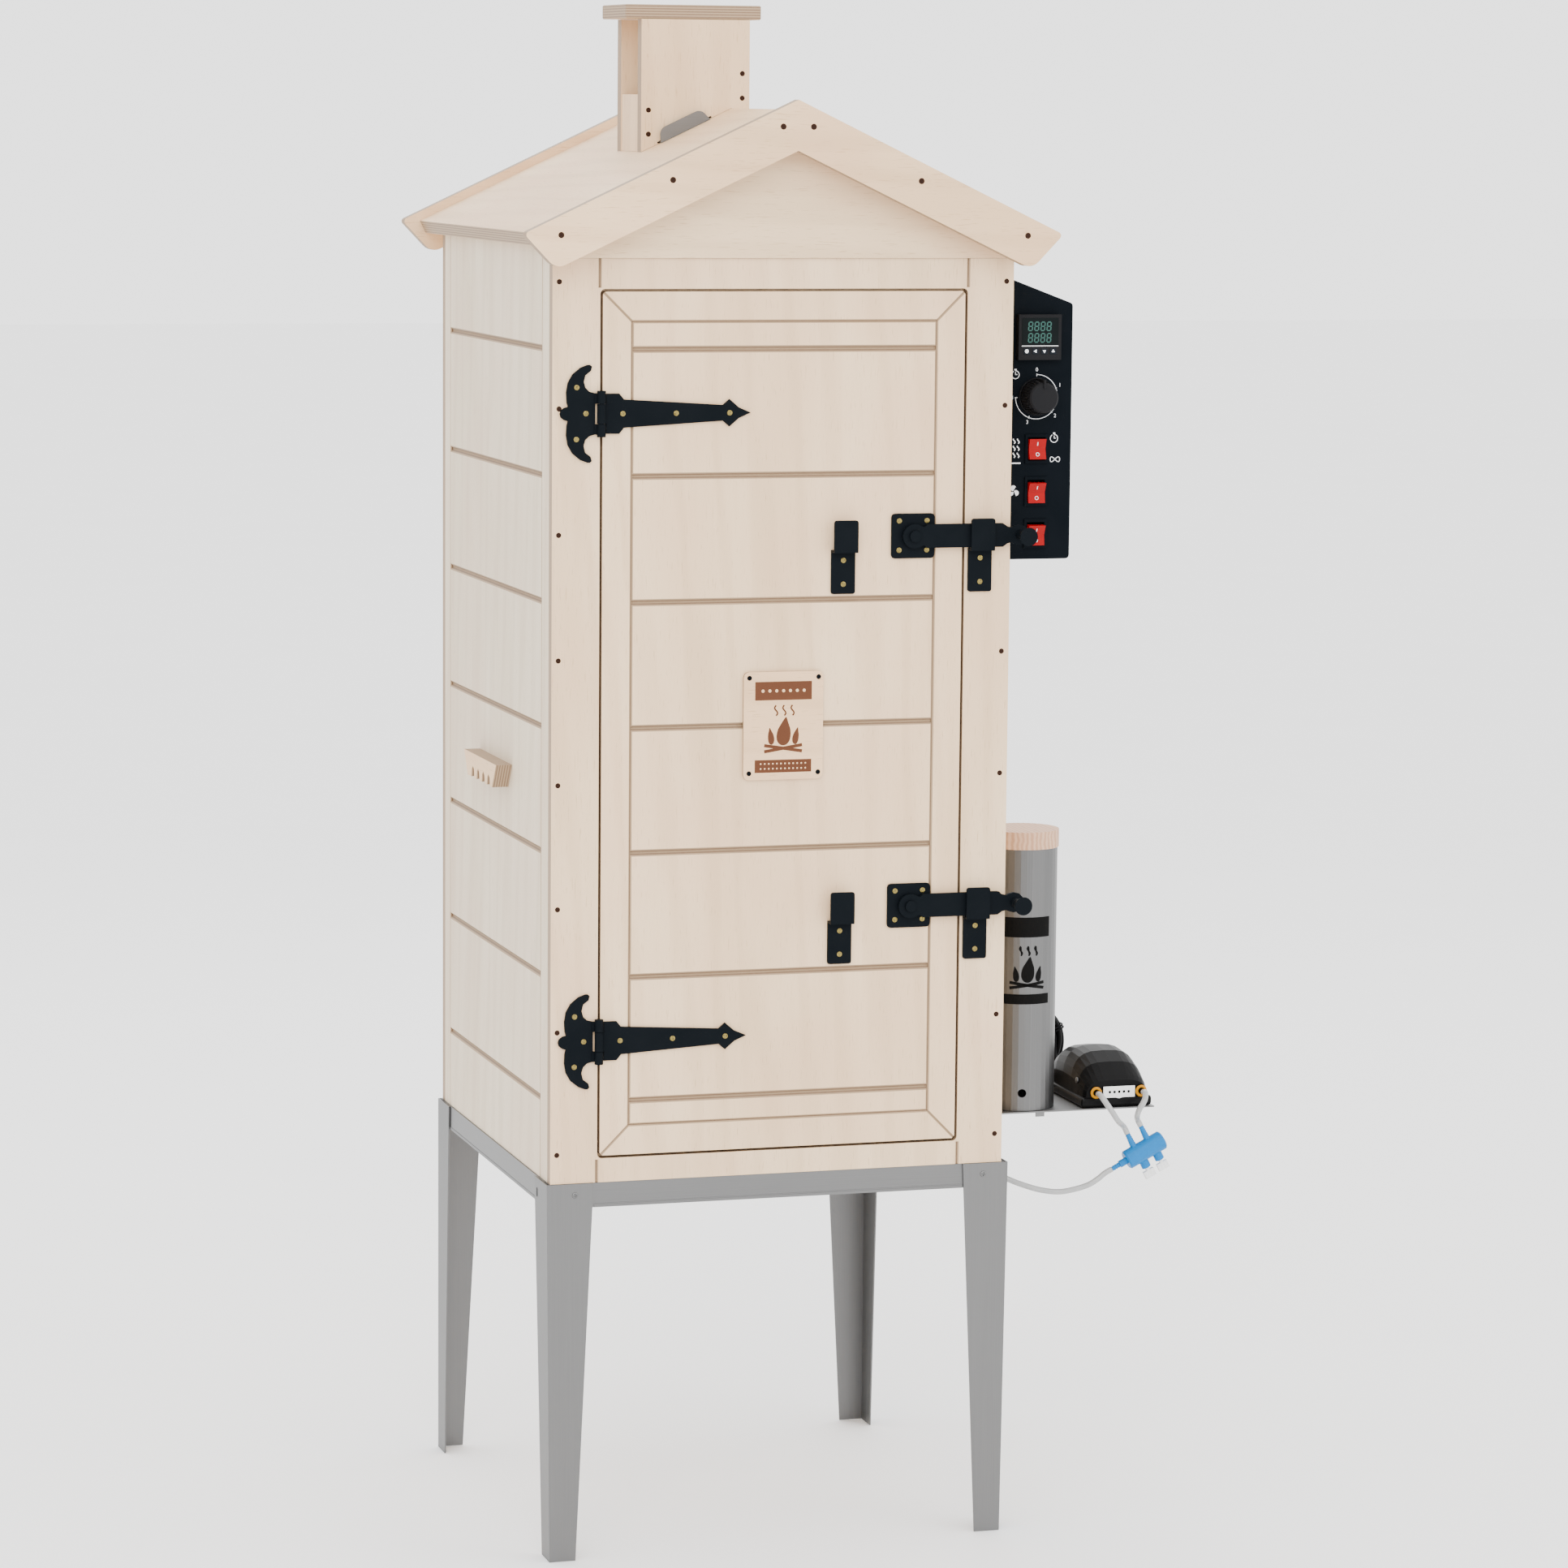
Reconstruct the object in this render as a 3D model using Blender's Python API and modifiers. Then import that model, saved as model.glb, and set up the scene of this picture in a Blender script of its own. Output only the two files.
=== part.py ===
"""Electric cabinet smoker: a birch plywood cabinet on a folded steel stand, with a hinged door,
two swing-over latches, a chimney with a slide damper, a control box, and a smoke generator that
an air pump blows through.

Lengths below are millimetres in the cabinet's own axes: X from the left edge of the front,
Y from the front face towards the back, Z up from the underside of the wooden body.
"""
import math
import bpy
import bmesh
from mathutils import Matrix, Vector

for old in list(bpy.data.objects):
    bpy.data.objects.remove(old, do_unlink=True)

MM = 0.001
GAP = 0.3                      # clearance between pieces that touch

# ---- driving dimensions -------------------------------------------------------------------
BODY_W, BODY_D = 500.0, 498.0  # wooden body
FRONT_T, WALL_T = 12.0, 12.0   # plywood of the body
FRONT_H = 966.7                # front panel, up to the gable board
PITCH = 0.4727                 # roof: rise over run
RIDGE_Z, ROOF_T = 1120.0, 15.0
EAVE_X = -20.0                 # left eave, the right one mirrors it
ROOF_Y0, ROOF_Y1 = -24.7, 524.7
FASCIA_T = 15.0
FASCIA_APEX, FASCIA_INNER = 1129.9, 1077.8
DOOR = (53.6, 446.4, 28.4, 932.6)       # x0, x1, z0, z1
OPENING = (50.8, 449.2, 25.6, 935.4)
LEG_H = 407.0
STAND = (-4.0, 507.0, -1.5, 504.0)      # outer faces of the stand: x0, x1, y0, y1
SHEET = 1.5
HINGE_X, HINGE_Y = 51.0, -5.2           # door axis
HINGE_Z = (807.3, 150.8)
LATCH_X, LATCH_Z = 391.0, (676.2, 283.0)
CATCH_X, PARK_X = 465.6, 314.4
CHIMNEY = (150.0, 270.0, 210.0, 308.5)  # x0, x1, y0, y1
CHIMNEY_TOP = 1213.7
BOX = (500.3, 580.0, 38.0, 188.0, 646.0, 917.7, 947.5)
DIAL_X, DIAL_Z = 540.5, 819.0
SWITCH_X, SWITCH_Z = 541.0, (763.6, 718.4, 673.2)
GEN_X, GEN_Y, GEN_R = 567.3, 140.0, 39.3
SHELF_Z = 33.0
SHELF = (500.3, 712.0, 98.0, 281.5)      # x0, x1, y0, y1
PUMP = (628.0, 710.0, 100.0, 221.0)
HOSE_R, LEAD_R = 3.2, 2.5
COIL = (621.0, 266.2, 78.9)             # centre of the tied coil of lead
COIL_IN, COIL_OUT, COIL_T = 29.0, 45.0, 16.4
BOARD_LINES = [86.0 + 131.2 * k for k in range(7)]      # sawn grooves across door and sides
FRAME_LINES = (85.0, 415.3, 60.0, 901.7)                # groove rectangle on the door
SIDE_LINES = (42.5, 460.0)
X_MID, Y_MID = (-37.58 + 712.0) / 2, (-40.0 + 540.0) / 2   # fascia tip to shelf, and fascias

SMOKER = bpy.data.collections.new("electric_cabinet_smoker")
CUTTERS = bpy.data.collections.new("cutters")
bpy.context.scene.collection.children.link(SMOKER)
bpy.context.scene.collection.children.link(CUTTERS)


def world(x, y, z):
    return Vector(((x - X_MID) * MM, (y - Y_MID) * MM, (z + LEG_H) * MM))


def material(name, colour, rough, metal=0.0):
    m = bpy.data.materials.new(name)
    m.use_nodes = True
    b = m.node_tree.nodes["Principled BSDF"]
    b.inputs["Base Color"].default_value = (*colour, 1)
    b.inputs["Roughness"].default_value = rough
    b.inputs["Metallic"].default_value = metal
    m.diffuse_color = (*colour, 1)
    return m


PLY = material("birch_plywood", (0.76, 0.66, 0.52), 0.6)
STEEL = material("stainless_sheet", (0.45, 0.45, 0.45), 0.35, 1.0)
BLACK = material("black_powder_coat", (0.02, 0.022, 0.028), 0.55)
PLASTIC = material("black_plastic", (0.012, 0.012, 0.014), 0.25)
RED = material("red_rocker", (0.65, 0.01, 0.02), 0.3)
LIDWOOD = material("turned_pine", (0.72, 0.5, 0.33), 0.6)
CLEAR = material("clear_hose", (0.62, 0.62, 0.62), 0.3)
BLUE = material("blue_plastic", (0.01, 0.33, 0.8), 0.35)
WHITE = material("white_plastic", (0.85, 0.85, 0.85), 0.4)
ROD = material("stainless_rod", (0.5, 0.5, 0.5), 0.3, 1.0)


# ---- helpers ------------------------------------------------------------------------------
def add(name, mesh, at, mat=None, rot=(0, 0, 0), cutter=False):
    ob = bpy.data.objects.new(name, mesh)
    ob.location = at
    ob.rotation_euler = rot
    if mat and not mesh.materials:
        mesh.materials.append(mat)
    (CUTTERS if cutter else SMOKER).objects.link(ob)
    if cutter:
        ob.hide_render = True
        ob.display_type = "WIRE"
    return ob


def soften(ob, width, segments=2):
    mod = ob.modifiers.new("edges", "BEVEL")
    mod.width = width * MM
    mod.segments = segments
    mod.limit_method = "ANGLE"
    mod.angle_limit = math.radians(40)
    return ob


def block(name, x0, x1, y0, y1, z0, z1, mat=None, cutter=False, rot=(0, 0, 0)):
    bm = bmesh.new()
    bmesh.ops.create_cube(bm, size=1.0)
    bmesh.ops.scale(bm, vec=((x1 - x0) * MM, (y1 - y0) * MM, (z1 - z0) * MM), verts=bm.verts)
    me = bpy.data.meshes.new(name)
    bm.to_mesh(me)
    bm.free()
    return add(name, me, world((x0 + x1) / 2, (y0 + y1) / 2, (z0 + z1) / 2), mat, rot, cutter)


TO_AXIS = {"X": (0, math.pi / 2, 0), "Y": (-math.pi / 2, 0, 0), "Z": (0, 0, 0)}


def rod(name, centre, axis, length, r, mat=None, cutter=False, r2=None, n=16, rot=None):
    """A cylinder or cone along an axis, centred; r is at the low end, r2 at the high one."""
    bm = bmesh.new()
    bmesh.ops.create_cone(bm, cap_ends=True, segments=n, radius1=r * MM,
                          radius2=(r if r2 is None else r2) * MM, depth=length * MM)
    me = bpy.data.meshes.new(name)
    bm.to_mesh(me)
    bm.free()
    return add(name, me, world(*centre), mat, TO_AXIS[axis] if rot is None else rot, cutter)


def vee(name, start, end, inward, depth):
    """A square bar whose corner cuts a V groove into the face that the line lies on."""
    a, b = Vector(start), Vector(end)
    z, x = (b - a).normalized(), Vector(inward)
    rot = Matrix((x, z.cross(x), z)).transposed().to_euler()
    proud = 0.3                          # keeps the bar's side corners off the face
    return rod(name, (a + b) / 2 - x * proud, "Z", (b - a).length, depth + proud, cutter=True,
               n=4, rot=rot)


def fillet(points, radii, n=4):
    """Corners of a closed outline rounded; radii holds one radius for each corner."""
    out = []
    for i, p in enumerate(points):
        r = radii[i] if hasattr(radii, "__len__") else radii
        a, b, c = Vector(points[i - 1]), Vector(p), Vector(points[(i + 1) % len(points)])
        if r <= 0:
            out.append((b.x, b.y))
            continue
        u, v = (a - b).normalized(), (c - b).normalized()
        half = u.angle(v) / 2
        back = min(r / math.tan(half), (a - b).length * 0.49, (c - b).length * 0.49)
        r = back * math.tan(half)
        mid = b + (u + v).normalized() * (r / math.sin(half))
        s, e = (b + u * back) - mid, (b + v * back) - mid
        turn = s.angle_signed(e)
        for k in range(n + 1):
            w = s.copy()
            w.rotate(Matrix.Rotation(-turn * k / n, 2))
            out.append(((mid + w).x, (mid + w).y))
    return out


def rect(x0, x1, z0, z1, r=0.0, n=4):
    pts = [(x0, z0), (x1, z0), (x1, z1), (x0, z1)]
    return fillet(pts, r, n) if r else pts


def circle(cx, cz, r, n=16):
    return [(cx + r * math.cos(2 * math.pi * k / n), cz + r * math.sin(2 * math.pi * k / n))
            for k in range(n)]


def to_mesh(name, cu, at, rot, mat, cutter):
    """A curve object turned into a closed mesh object at the same place."""
    tmp = bpy.data.objects.new(name + "_outline", cu)
    tmp.location = at
    tmp.rotation_euler = rot
    SMOKER.objects.link(tmp)
    bpy.context.view_layer.update()
    me = bpy.data.meshes.new_from_object(tmp.evaluated_get(bpy.context.evaluated_depsgraph_get()))
    bm = bmesh.new()
    bm.from_mesh(me)
    bmesh.ops.remove_doubles(bm, verts=bm.verts, dist=0.00001)
    bmesh.ops.recalc_face_normals(bm, faces=bm.faces)
    bm.to_mesh(me)
    bm.free()
    me.name = name
    me.materials.clear()
    bpy.data.objects.remove(tmp, do_unlink=True)
    return add(name, me, at, mat, rot, cutter)


def plate(name, loops, plane, a, b, mat=None, cutter=False):
    """A flat outline, with holes, extruded from a to b along the normal of plane XZ, YZ or XY."""
    if not hasattr(loops[0][0], "__len__"):
        loops = [loops]
    us = [p[0] for p in loops[0]]
    vs = [p[1] for p in loops[0]]
    u0, v0, mid = (min(us) + max(us)) / 2, (min(vs) + max(vs)) / 2, (a + b) / 2
    cu = bpy.data.curves.new(name, "CURVE")
    cu.dimensions = "2D"
    cu.fill_mode = "BOTH"
    cu.extrude = abs(b - a) / 2 * MM
    for loop in loops:
        sp = cu.splines.new("POLY")
        sp.points.add(len(loop) - 1)
        for q, (u, v) in zip(sp.points, loop):
            q.co = ((u - u0) * MM, (v - v0) * MM, 0, 1)
        sp.use_cyclic_u = True
    at, rot = {"XZ": (world(u0, mid, v0), (math.pi / 2, 0, 0)),
               "YZ": (world(mid, u0, v0), (math.pi / 2, 0, math.pi / 2)),
               "XY": (world(u0, v0, mid), (0, 0, 0))}[plane]
    return to_mesh(name, cu, at, rot, mat, cutter)


def smooth_path(points, step):
    """A Catmull-Rom curve through the points, read about every step."""
    p = [Vector(q) for q in points]
    p = [p[0] * 2 - p[1]] + p + [p[-1] * 2 - p[-2]]
    fine = []
    for i in range(1, len(p) - 2):
        for k in range(24):
            t = k / 24
            a, b, c, d = p[i - 1], p[i], p[i + 1], p[i + 2]
            fine.append(0.5 * (2 * b + (c - a) * t + (2 * a - 5 * b + 4 * c - d) * t * t
                               + (3 * b - a - 3 * c + d) * t ** 3))
    fine.append(p[-2])
    total = sum((fine[i + 1] - fine[i]).length for i in range(len(fine) - 1))
    count = max(2, round(total / step))
    out, want, run = [fine[0]], total / count, 0.0
    for i in range(len(fine) - 1):
        seg = (fine[i + 1] - fine[i]).length
        while run + seg >= want * len(out) - 1e-6 and len(out) < count:
            out.append(fine[i].lerp(fine[i + 1], (want * len(out) - run) / seg))
        run += seg
    out.append(fine[-1])
    return out


def tube(name, points, r, mat, step=None, res=2, cutter=False):
    pts = smooth_path(points, step or 5 * r) if step != 0 else [Vector(q) for q in points]
    cu = bpy.data.curves.new(name, "CURVE")
    cu.dimensions = "3D"
    cu.bevel_depth = r * MM
    cu.bevel_resolution = res
    cu.use_fill_caps = True
    sp = cu.splines.new("POLY")
    sp.points.add(len(pts) - 1)
    o = pts[0]
    for q, v in zip(sp.points, pts):
        q.co = (*((v - o) * MM), 1)
    return to_mesh(name, cu, world(*o), (0, 0, 0), mat, cutter)


def turned(name, profile, centre, mat, rot=(0, 0, 0), steps=32):
    """A closed profile of (radius, height) points, turned about the object's own Z."""
    bm = bmesh.new()
    ring = [bm.verts.new((r * MM, 0, h * MM)) for r, h in profile]
    for a, b in zip(ring, ring[1:] + ring[:1]):
        bm.edges.new((a, b))
    me = bpy.data.meshes.new(name)
    bm.to_mesh(me)
    bm.free()
    ob = add(name, me, world(*centre), mat, rot)
    mod = ob.modifiers.new("turn", "SCREW")
    mod.steps = mod.render_steps = steps
    mod.use_merge_vertices = True
    mod.merge_threshold = 0.0001
    return ob


def boolean(ob, other, operation):
    mod = ob.modifiers.new(operation.lower(), "BOOLEAN")
    mod.operation = operation
    mod.object = other
    mod.solver = "EXACT"
    return ob


def cut(ob, *others):
    for o in others:
        boolean(ob, o, "DIFFERENCE")
    return ob


def weld(ob, *others):
    for o in others:
        boolean(ob, o, "UNION")
    return ob


def hang_on(name, at, children):
    """An empty on a joint's axis that carries the pieces which turn or slide together."""
    e = bpy.data.objects.new(name, None)
    e.empty_display_size = 0.03
    e.location = world(*at)
    SMOKER.objects.link(e)
    bpy.context.view_layer.update()
    for c in children:
        c.parent = e
        c.matrix_parent_inverse = e.matrix_world.inverted()
    return e


def roof_top(x):
    return RIDGE_Z - PITCH * abs(x - BODY_W / 2)


SLOPE = math.atan(PITCH)
UNDER = ROOF_T / math.cos(SLOPE)          # roof thickness measured straight down


# ---- wooden body --------------------------------------------------------------------------
def front_frame():
    x0, x1, z0, z1 = OPENING
    ob = plate("front_frame", [rect(0, BODY_W, 0, FRONT_H), rect(x0, x1, z0, z1, 5)],
               "XZ", 0, FRONT_T, PLY)
    stop = plate("door_stop", [rect(30, 470, 14, 955), rect(x0 + 7, x1 - 7, z0 + 7, z1 - 7)],
                 "XZ", 11, 20, cutter=True)
    pocket = plate("door_pocket", rect(x0, x1, z0, z1, 5), "XZ", -1, FRONT_T + 0.4, cutter=True)
    cut(weld(ob, stop), pocket)
    for x in (50.3, 449.7):
        cut(ob, vee("stile_top", (x, 0, z1 + 1.2), (x, 0, FRONT_H + 5), (0, 1, 0), 1.8),
            vee("stile_foot", (x, 0, -5), (x, 0, z0 - 1.2), (0, 1, 0), 1.8))
    return ob


def side_panel(name, left):
    x0, x1 = (0, WALL_T) if left else (BODY_W - WALL_T, BODY_W)
    ob = block(name, x0, x1, FRONT_T + GAP, BODY_D - WALL_T - GAP, 0, 984.6, PLY)
    a, b = (WALL_T - 1, WALL_T + 12) if left else (BODY_W - WALL_T - 12, BODY_W - WALL_T + 1)
    rail = block(name + "_rack_ledge", a, b, 40, 460, 826, 845, cutter=True)
    notches = [block(name + "_notch%d" % i, a + 1.5 if left else a - 1, b + 1 if left else b - 1.5,
                     y - 5, y + 5, 838, 850, cutter=True) for i, y in enumerate((150, 350))]
    weld(ob, rail)
    cut(ob, *notches)
    x, inward = (0, (1, 0, 0)) if left else (BODY_W, (-1, 0, 0))
    y0, y1 = SIDE_LINES
    cut(ob, *[vee(name + "_line", (x, y0, z), (x, y1, z), inward, 3.6) for z in BOARD_LINES],
        *[vee(name + "_edge", (x, y, -5), (x, y, 990), inward, 1.0) for y in SIDE_LINES])
    if not left:
        cut(ob, rod("smoke_inlet", (BODY_W - 6, GEN_Y, 285), "X", 30, 11, cutter=True, n=24))
    return ob


def body_panels():
    front_frame()
    side_panel("side_panel_left", True)
    side_panel("side_panel_right", False)
    eave = roof_top(0) - UNDER - 0.4
    apex = RIDGE_Z - UNDER - 0.4
    plate("back_panel", [(0, 0), (BODY_W, 0), (BODY_W, eave), (BODY_W / 2, apex), (0, eave)],
          "XZ", BODY_D - WALL_T, BODY_D, PLY)
    block("floor_board", WALL_T + GAP, BODY_W - WALL_T - GAP, FRONT_T + GAP,
          BODY_D - WALL_T - GAP, 0, 12, PLY)
    z = FRONT_H + GAP
    plate("gable_front", [(0.2, z), (BODY_W - 0.2, z), (BODY_W - 0.2, eave),
                          (BODY_W / 2, apex), (0.2, eave)], "XZ", -3, FRONT_T, PLY)


# ---- roof and chimney ---------------------------------------------------------------------
def roof():
    nx, nz = ROOF_T * math.sin(SLOPE), ROOF_T * math.cos(SLOPE)
    for side, name in ((1, "roof_board_left"), (-1, "roof_board_right")):
        pts = [(249.85, RIDGE_Z - 0.07), (EAVE_X, roof_top(EAVE_X)),
               (EAVE_X + nx, roof_top(EAVE_X) - nz), (249.85, RIDGE_Z - UNDER - 0.07)]
        if side < 0:
            pts = [(BODY_W - x, z) for x, z in pts]
        ob = plate(name, pts, "XZ", ROOF_Y0, ROOF_Y1, PLY)
        if side > 0:
            cut(ob, block("flue_hole", 176, 220, 238, 282, 1040, 1140, cutter=True))
    half = []
    for dx, z, r in ((0, FASCIA_APEX, 0), (290.3, FASCIA_APEX - PITCH * 290.3, 4),
                     (256, FASCIA_INNER - PITCH * 256, 14), (0, FASCIA_INNER, 0)):
        half.append((dx, z, r))
    mid = BODY_W / 2
    pts = [(mid + dx, z) for dx, z, r in half] + [(mid - dx, z) for dx, z, r in half[-2:0:-1]]
    radii = [r for dx, z, r in half] + [r for dx, z, r in half[-2:0:-1]]
    for name, y in (("fascia_front", ROOF_Y0 - GAP - FASCIA_T), ("fascia_back", ROOF_Y1 + GAP)):
        plate(name, fillet(pts, radii, 5), "XZ", y, y + FASCIA_T, PLY)


def on_slope(s, h):
    """A point s along the left slope from x = 170.5 and h above the roof surface."""
    return (170.5 + s * math.cos(SLOPE) - h * math.sin(SLOPE),
            roof_top(170.5) + s * math.sin(SLOPE) + h * math.cos(SLOPE))


def chimney():
    x0, x1, y0, y1 = CHIMNEY
    pts = [(x0, CHIMNEY_TOP), (x0, roof_top(x0) + GAP), (250, RIDGE_Z + GAP),
           (x1, roof_top(x1) + GAP), (x1, CHIMNEY_TOP)]
    front = plate("chimney_front", pts, "XZ", y0, y0 + 15, PLY)
    slot = [on_slope(-2, -3), on_slope(64, -3), on_slope(64, 2.4), on_slope(-2, 2.4)]
    cut(front, plate("damper_slot", slot, "XZ", y0 - 2, y0 + 17, cutter=True))
    plate("chimney_back", pts, "XZ", y1 - 15, y1, PLY)
    for name, a, b in (("chimney_side_left", x0 + 1, x0 + 13),
                       ("chimney_side_right", x1 - 13, x1 - 1)):
        plate(name, [(a, roof_top(a) + GAP), (b, roof_top(b) + GAP), (b, 1134), (a, 1134)],
              "XZ", y0 + 15 + GAP, y1 - 15 - GAP, PLY)
    cap = block("chimney_cap", 132.5, 282.5, y0, y1, CHIMNEY_TOP + GAP, CHIMNEY_TOP + GAP + 15, PLY)
    soften(cap, 1.2, 1)


def damper():
    tongue = [on_slope(0, 0.4), on_slope(60, 0.4), on_slope(60, 1.6), on_slope(0, 1.6)]
    ob = plate("damper_plate", tongue, "XZ", 203, 290, STEEL)
    flange = fillet([on_slope(0, 0.4), on_slope(60, 0.4), on_slope(55, 14.5), on_slope(5, 14.5)],
                    (0, 0, 9, 9), 4)
    weld(ob, plate("damper_flange", flange, "XZ", 203, 204.2, cutter=True))
    hang_on("damper_slide", (198, 247, 1096), [ob])


# ---- stand --------------------------------------------------------------------------------
def leg(name, right, back, lean):
    x0, x1, y0, y1 = STAND
    cx, sx = (x1, -1) if right else (x0, 1)
    cy, sy = (y1, -1) if back else (y0, 1)
    face = [(cx, -GAP), (cx + sx * 50.8, -GAP), (cx + sx * 28.6, -LEG_H), (cx, -LEG_H)]
    side = [(cy, -GAP), (cy + sy * 53, -GAP), (cy + sy * 33, -LEG_H), (cy, -LEG_H)]
    ob = plate(name, face, "XZ", cy, cy + sy * SHEET, STEEL)
    other = plate(name + "_side", side, "YZ", cx, cx + sx * SHEET, cutter=True)
    weld(ob, other)
    for o in (ob, other):
        bpy.context.view_layer.update()
        m = o.matrix_world.copy()
        for v in o.data.vertices:
            w = m @ v.co
            w.x += lean * MM * (LEG_H * MM - w.z) / (LEG_H * MM)
            v.co = m.inverted() @ w


def stand():
    x0, x1, y0, y1 = STAND
    leg("leg_front_left", False, False, 4)
    leg("leg_front_right", True, False, -4)
    leg("leg_back_left", False, True, 0)
    leg("leg_back_right", True, True, 0)
    t = SHEET + GAP + 0.1
    for name, a, b, c, d, lip in (
            ("rail_front", x0 + t + 1, x1 - t - 1, y0 + t, y0 + t + SHEET, (0, 16)),
            ("rail_back", x0 + t + 1, x1 - t - 1, y1 - t - SHEET, y1 - t, (-16, 0))):
        ob = block(name, a, b, c, d, -26.5, -0.3, STEEL)
        top = block(name + "_lip", a, b, c + lip[0], d + lip[1], -0.3 - SHEET, -0.3, cutter=True)
        weld(ob, top)
    w = t + 0.3
    for name, a, b, lip in (("rail_left", x0 + w, x0 + w + SHEET, (0, 14)),
                            ("rail_right", x1 - w - SHEET, x1 - w, (-14, 0))):
        c, d = y0 + t + SHEET + 17, y1 - t - SHEET - 17
        ob = block(name, a, b, c, d, -26.5, -0.3, STEEL)
        top = block(name + "_lip", a + lip[0], b + lip[1], c, d, -0.3 - SHEET, -0.3, cutter=True)
        weld(ob, top)


# ---- door and its metalwork ---------------------------------------------------------------
def hinge(tag, zc):
    outer = [(41.5, 48.7), (39.5, 50.4), (36.5, 50.2), (29.4, 47.5), (21, 40.7), (16, 32),
             (14.3, 22), (14.9, 11.5), (16.2, 7.2), (12, 6.2), (8.6, 3.6), (7.6, 0)]
    inner = [(46, 20.9), (38.7, 22.9), (34.5, 27), (32.8, 33), (34.5, 39.8), (40.3, 44.2)]
    top = outer[::-1] + inner[::-1]
    pts = top + [(x, -z) for x, z in reversed(top[1:])]
    pts = [(x, z + zc) for x, z in pts]
    leaf = plate("hinge_leaf_" + tag, pts, "XZ", -2.8, -0.3, BLACK)
    clear = block("leaf_gap_" + tag, 45, 60, -12, 0.4, zc - 10.4, zc + 10.4, cutter=True)
    pin = rod("pin_" + tag, (HINGE_X, HINGE_Y, zc), "Z", 47, 2, cutter=True, n=12)
    ends = [rod("knuckle_%s%d" % (tag, i), (HINGE_X, HINGE_Y, zc + s * 17.2), "Z", 13.2, 4.6,
                cutter=True, n=16) for i, s in enumerate((-1, 1))]
    feet = [block("foot_%s%d" % (tag, i), 44, HINGE_X, -4, -0.3, zc + s * 16 - 5.2,
                  zc + s * 16 + 5.2, cutter=True) for i, s in enumerate((-1, 1))]
    cut(leaf, clear)
    weld(leaf, *feet, *ends, pin)
    strap = [(56.8, -20.7), (70.7, -20.7), (75.7, -14.6), (182, -8.2), (189, -14.2), (199, -5.6),
             (212, 0)]
    strap = strap + [(x, -z) for x, z in reversed(strap[:-1])]
    ob = plate("hinge_strap_" + tag, [(x, z + zc) for x, z in strap], "XZ", -2.8, -0.3, BLACK)
    eye = rod("eye_" + tag, (HINGE_X, HINGE_Y, zc), "Z", 20.2, 4.6, cutter=True, n=16)
    neck = block("neck_" + tag, HINGE_X, 58, -4, -0.3, zc - 10.1, zc + 10.1, cutter=True)
    bore = rod("bore_" + tag, (HINGE_X, HINGE_Y, zc), "Z", 30, 2.5, cutter=True, n=12)
    cut(weld(ob, neck, eye), bore)
    return ob


def hook(name, x, zc):
    """A screwed tab whose top is bent out under the bar and up in front of it."""
    ob = plate(name, rect(x - 13.1, x + 13.1, zc - 60, zc - 13.5, 2.5, 3), "XZ", -2.8, -0.3, BLACK)
    shelf = block(name + "_bend", x - 13.1, x + 13.1, -13.6, -0.3, zc - 16, zc - 13.5, cutter=True)
    lip = plate(name + "_lip", rect(x - 13.1, x + 13.1, zc - 16, zc + 18, 2.5, 3), "XZ",
                -13.6, -11.1, cutter=True)
    weld(ob, shelf, lip)
    return ob


def latch(tag, zc):
    base = plate("latch_plate_" + tag, rect(LATCH_X - 23.8, LATCH_X + 23.8, zc - 23.6, zc + 23.6,
                                            4, 3), "XZ", -2.8, -0.3, BLACK)
    post = rod("post_" + tag, (LATCH_X, -5.9, zc), "Y", 8, 4, cutter=True, n=16)
    spacer = rod("spacer_" + tag, (LATCH_X, -3.2, zc), "Y", 1.8, 7, cutter=True, n=16)
    head = rod("head_" + tag, (LATCH_X, -10.4, zc), "Y", 2.4, 6, cutter=True, n=16)
    weld(base, spacer, post, head)
    span = 117.0
    edge = [(14.5, 12.5), (98, 12.5), (103, 9), (107.5, 8), (111, 9.5), (116, 10.8), (122, 9.4),
            (126.5, 5), (128, 0)]
    ring = [(12.9 * math.cos(math.radians(a)), 12.9 * math.sin(math.radians(a)))
            for a in range(180, 69, -22)]
    half = ring + [(10.5, 9.5)] + edge
    pts = half + [(u, -v) for u, v in reversed(half[1:-1])]
    hole = circle(LATCH_X, zc, 4.4, 16)
    bar = plate("latch_bar_" + tag, [[(LATCH_X + u, zc + v) for u, v in pts], hole], "XZ",
                -8.6, -4.6, BLACK)
    stem = rod("stem_" + tag, (LATCH_X + span, -18, zc), "Y", 22, 5, cutter=True, n=16)
    knob = rod("knob_" + tag, (LATCH_X + span, -32, zc), "Y", 12, 9.8, cutter=True, r2=6.5, n=20)
    weld(bar, stem, knob)
    hang_on("latch_pivot_" + tag, (LATCH_X, -6.6, zc), [bar])
    hook("catch_" + tag, CATCH_X, zc)
    return base, hook("park_hook_" + tag, PARK_X, zc)


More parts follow.
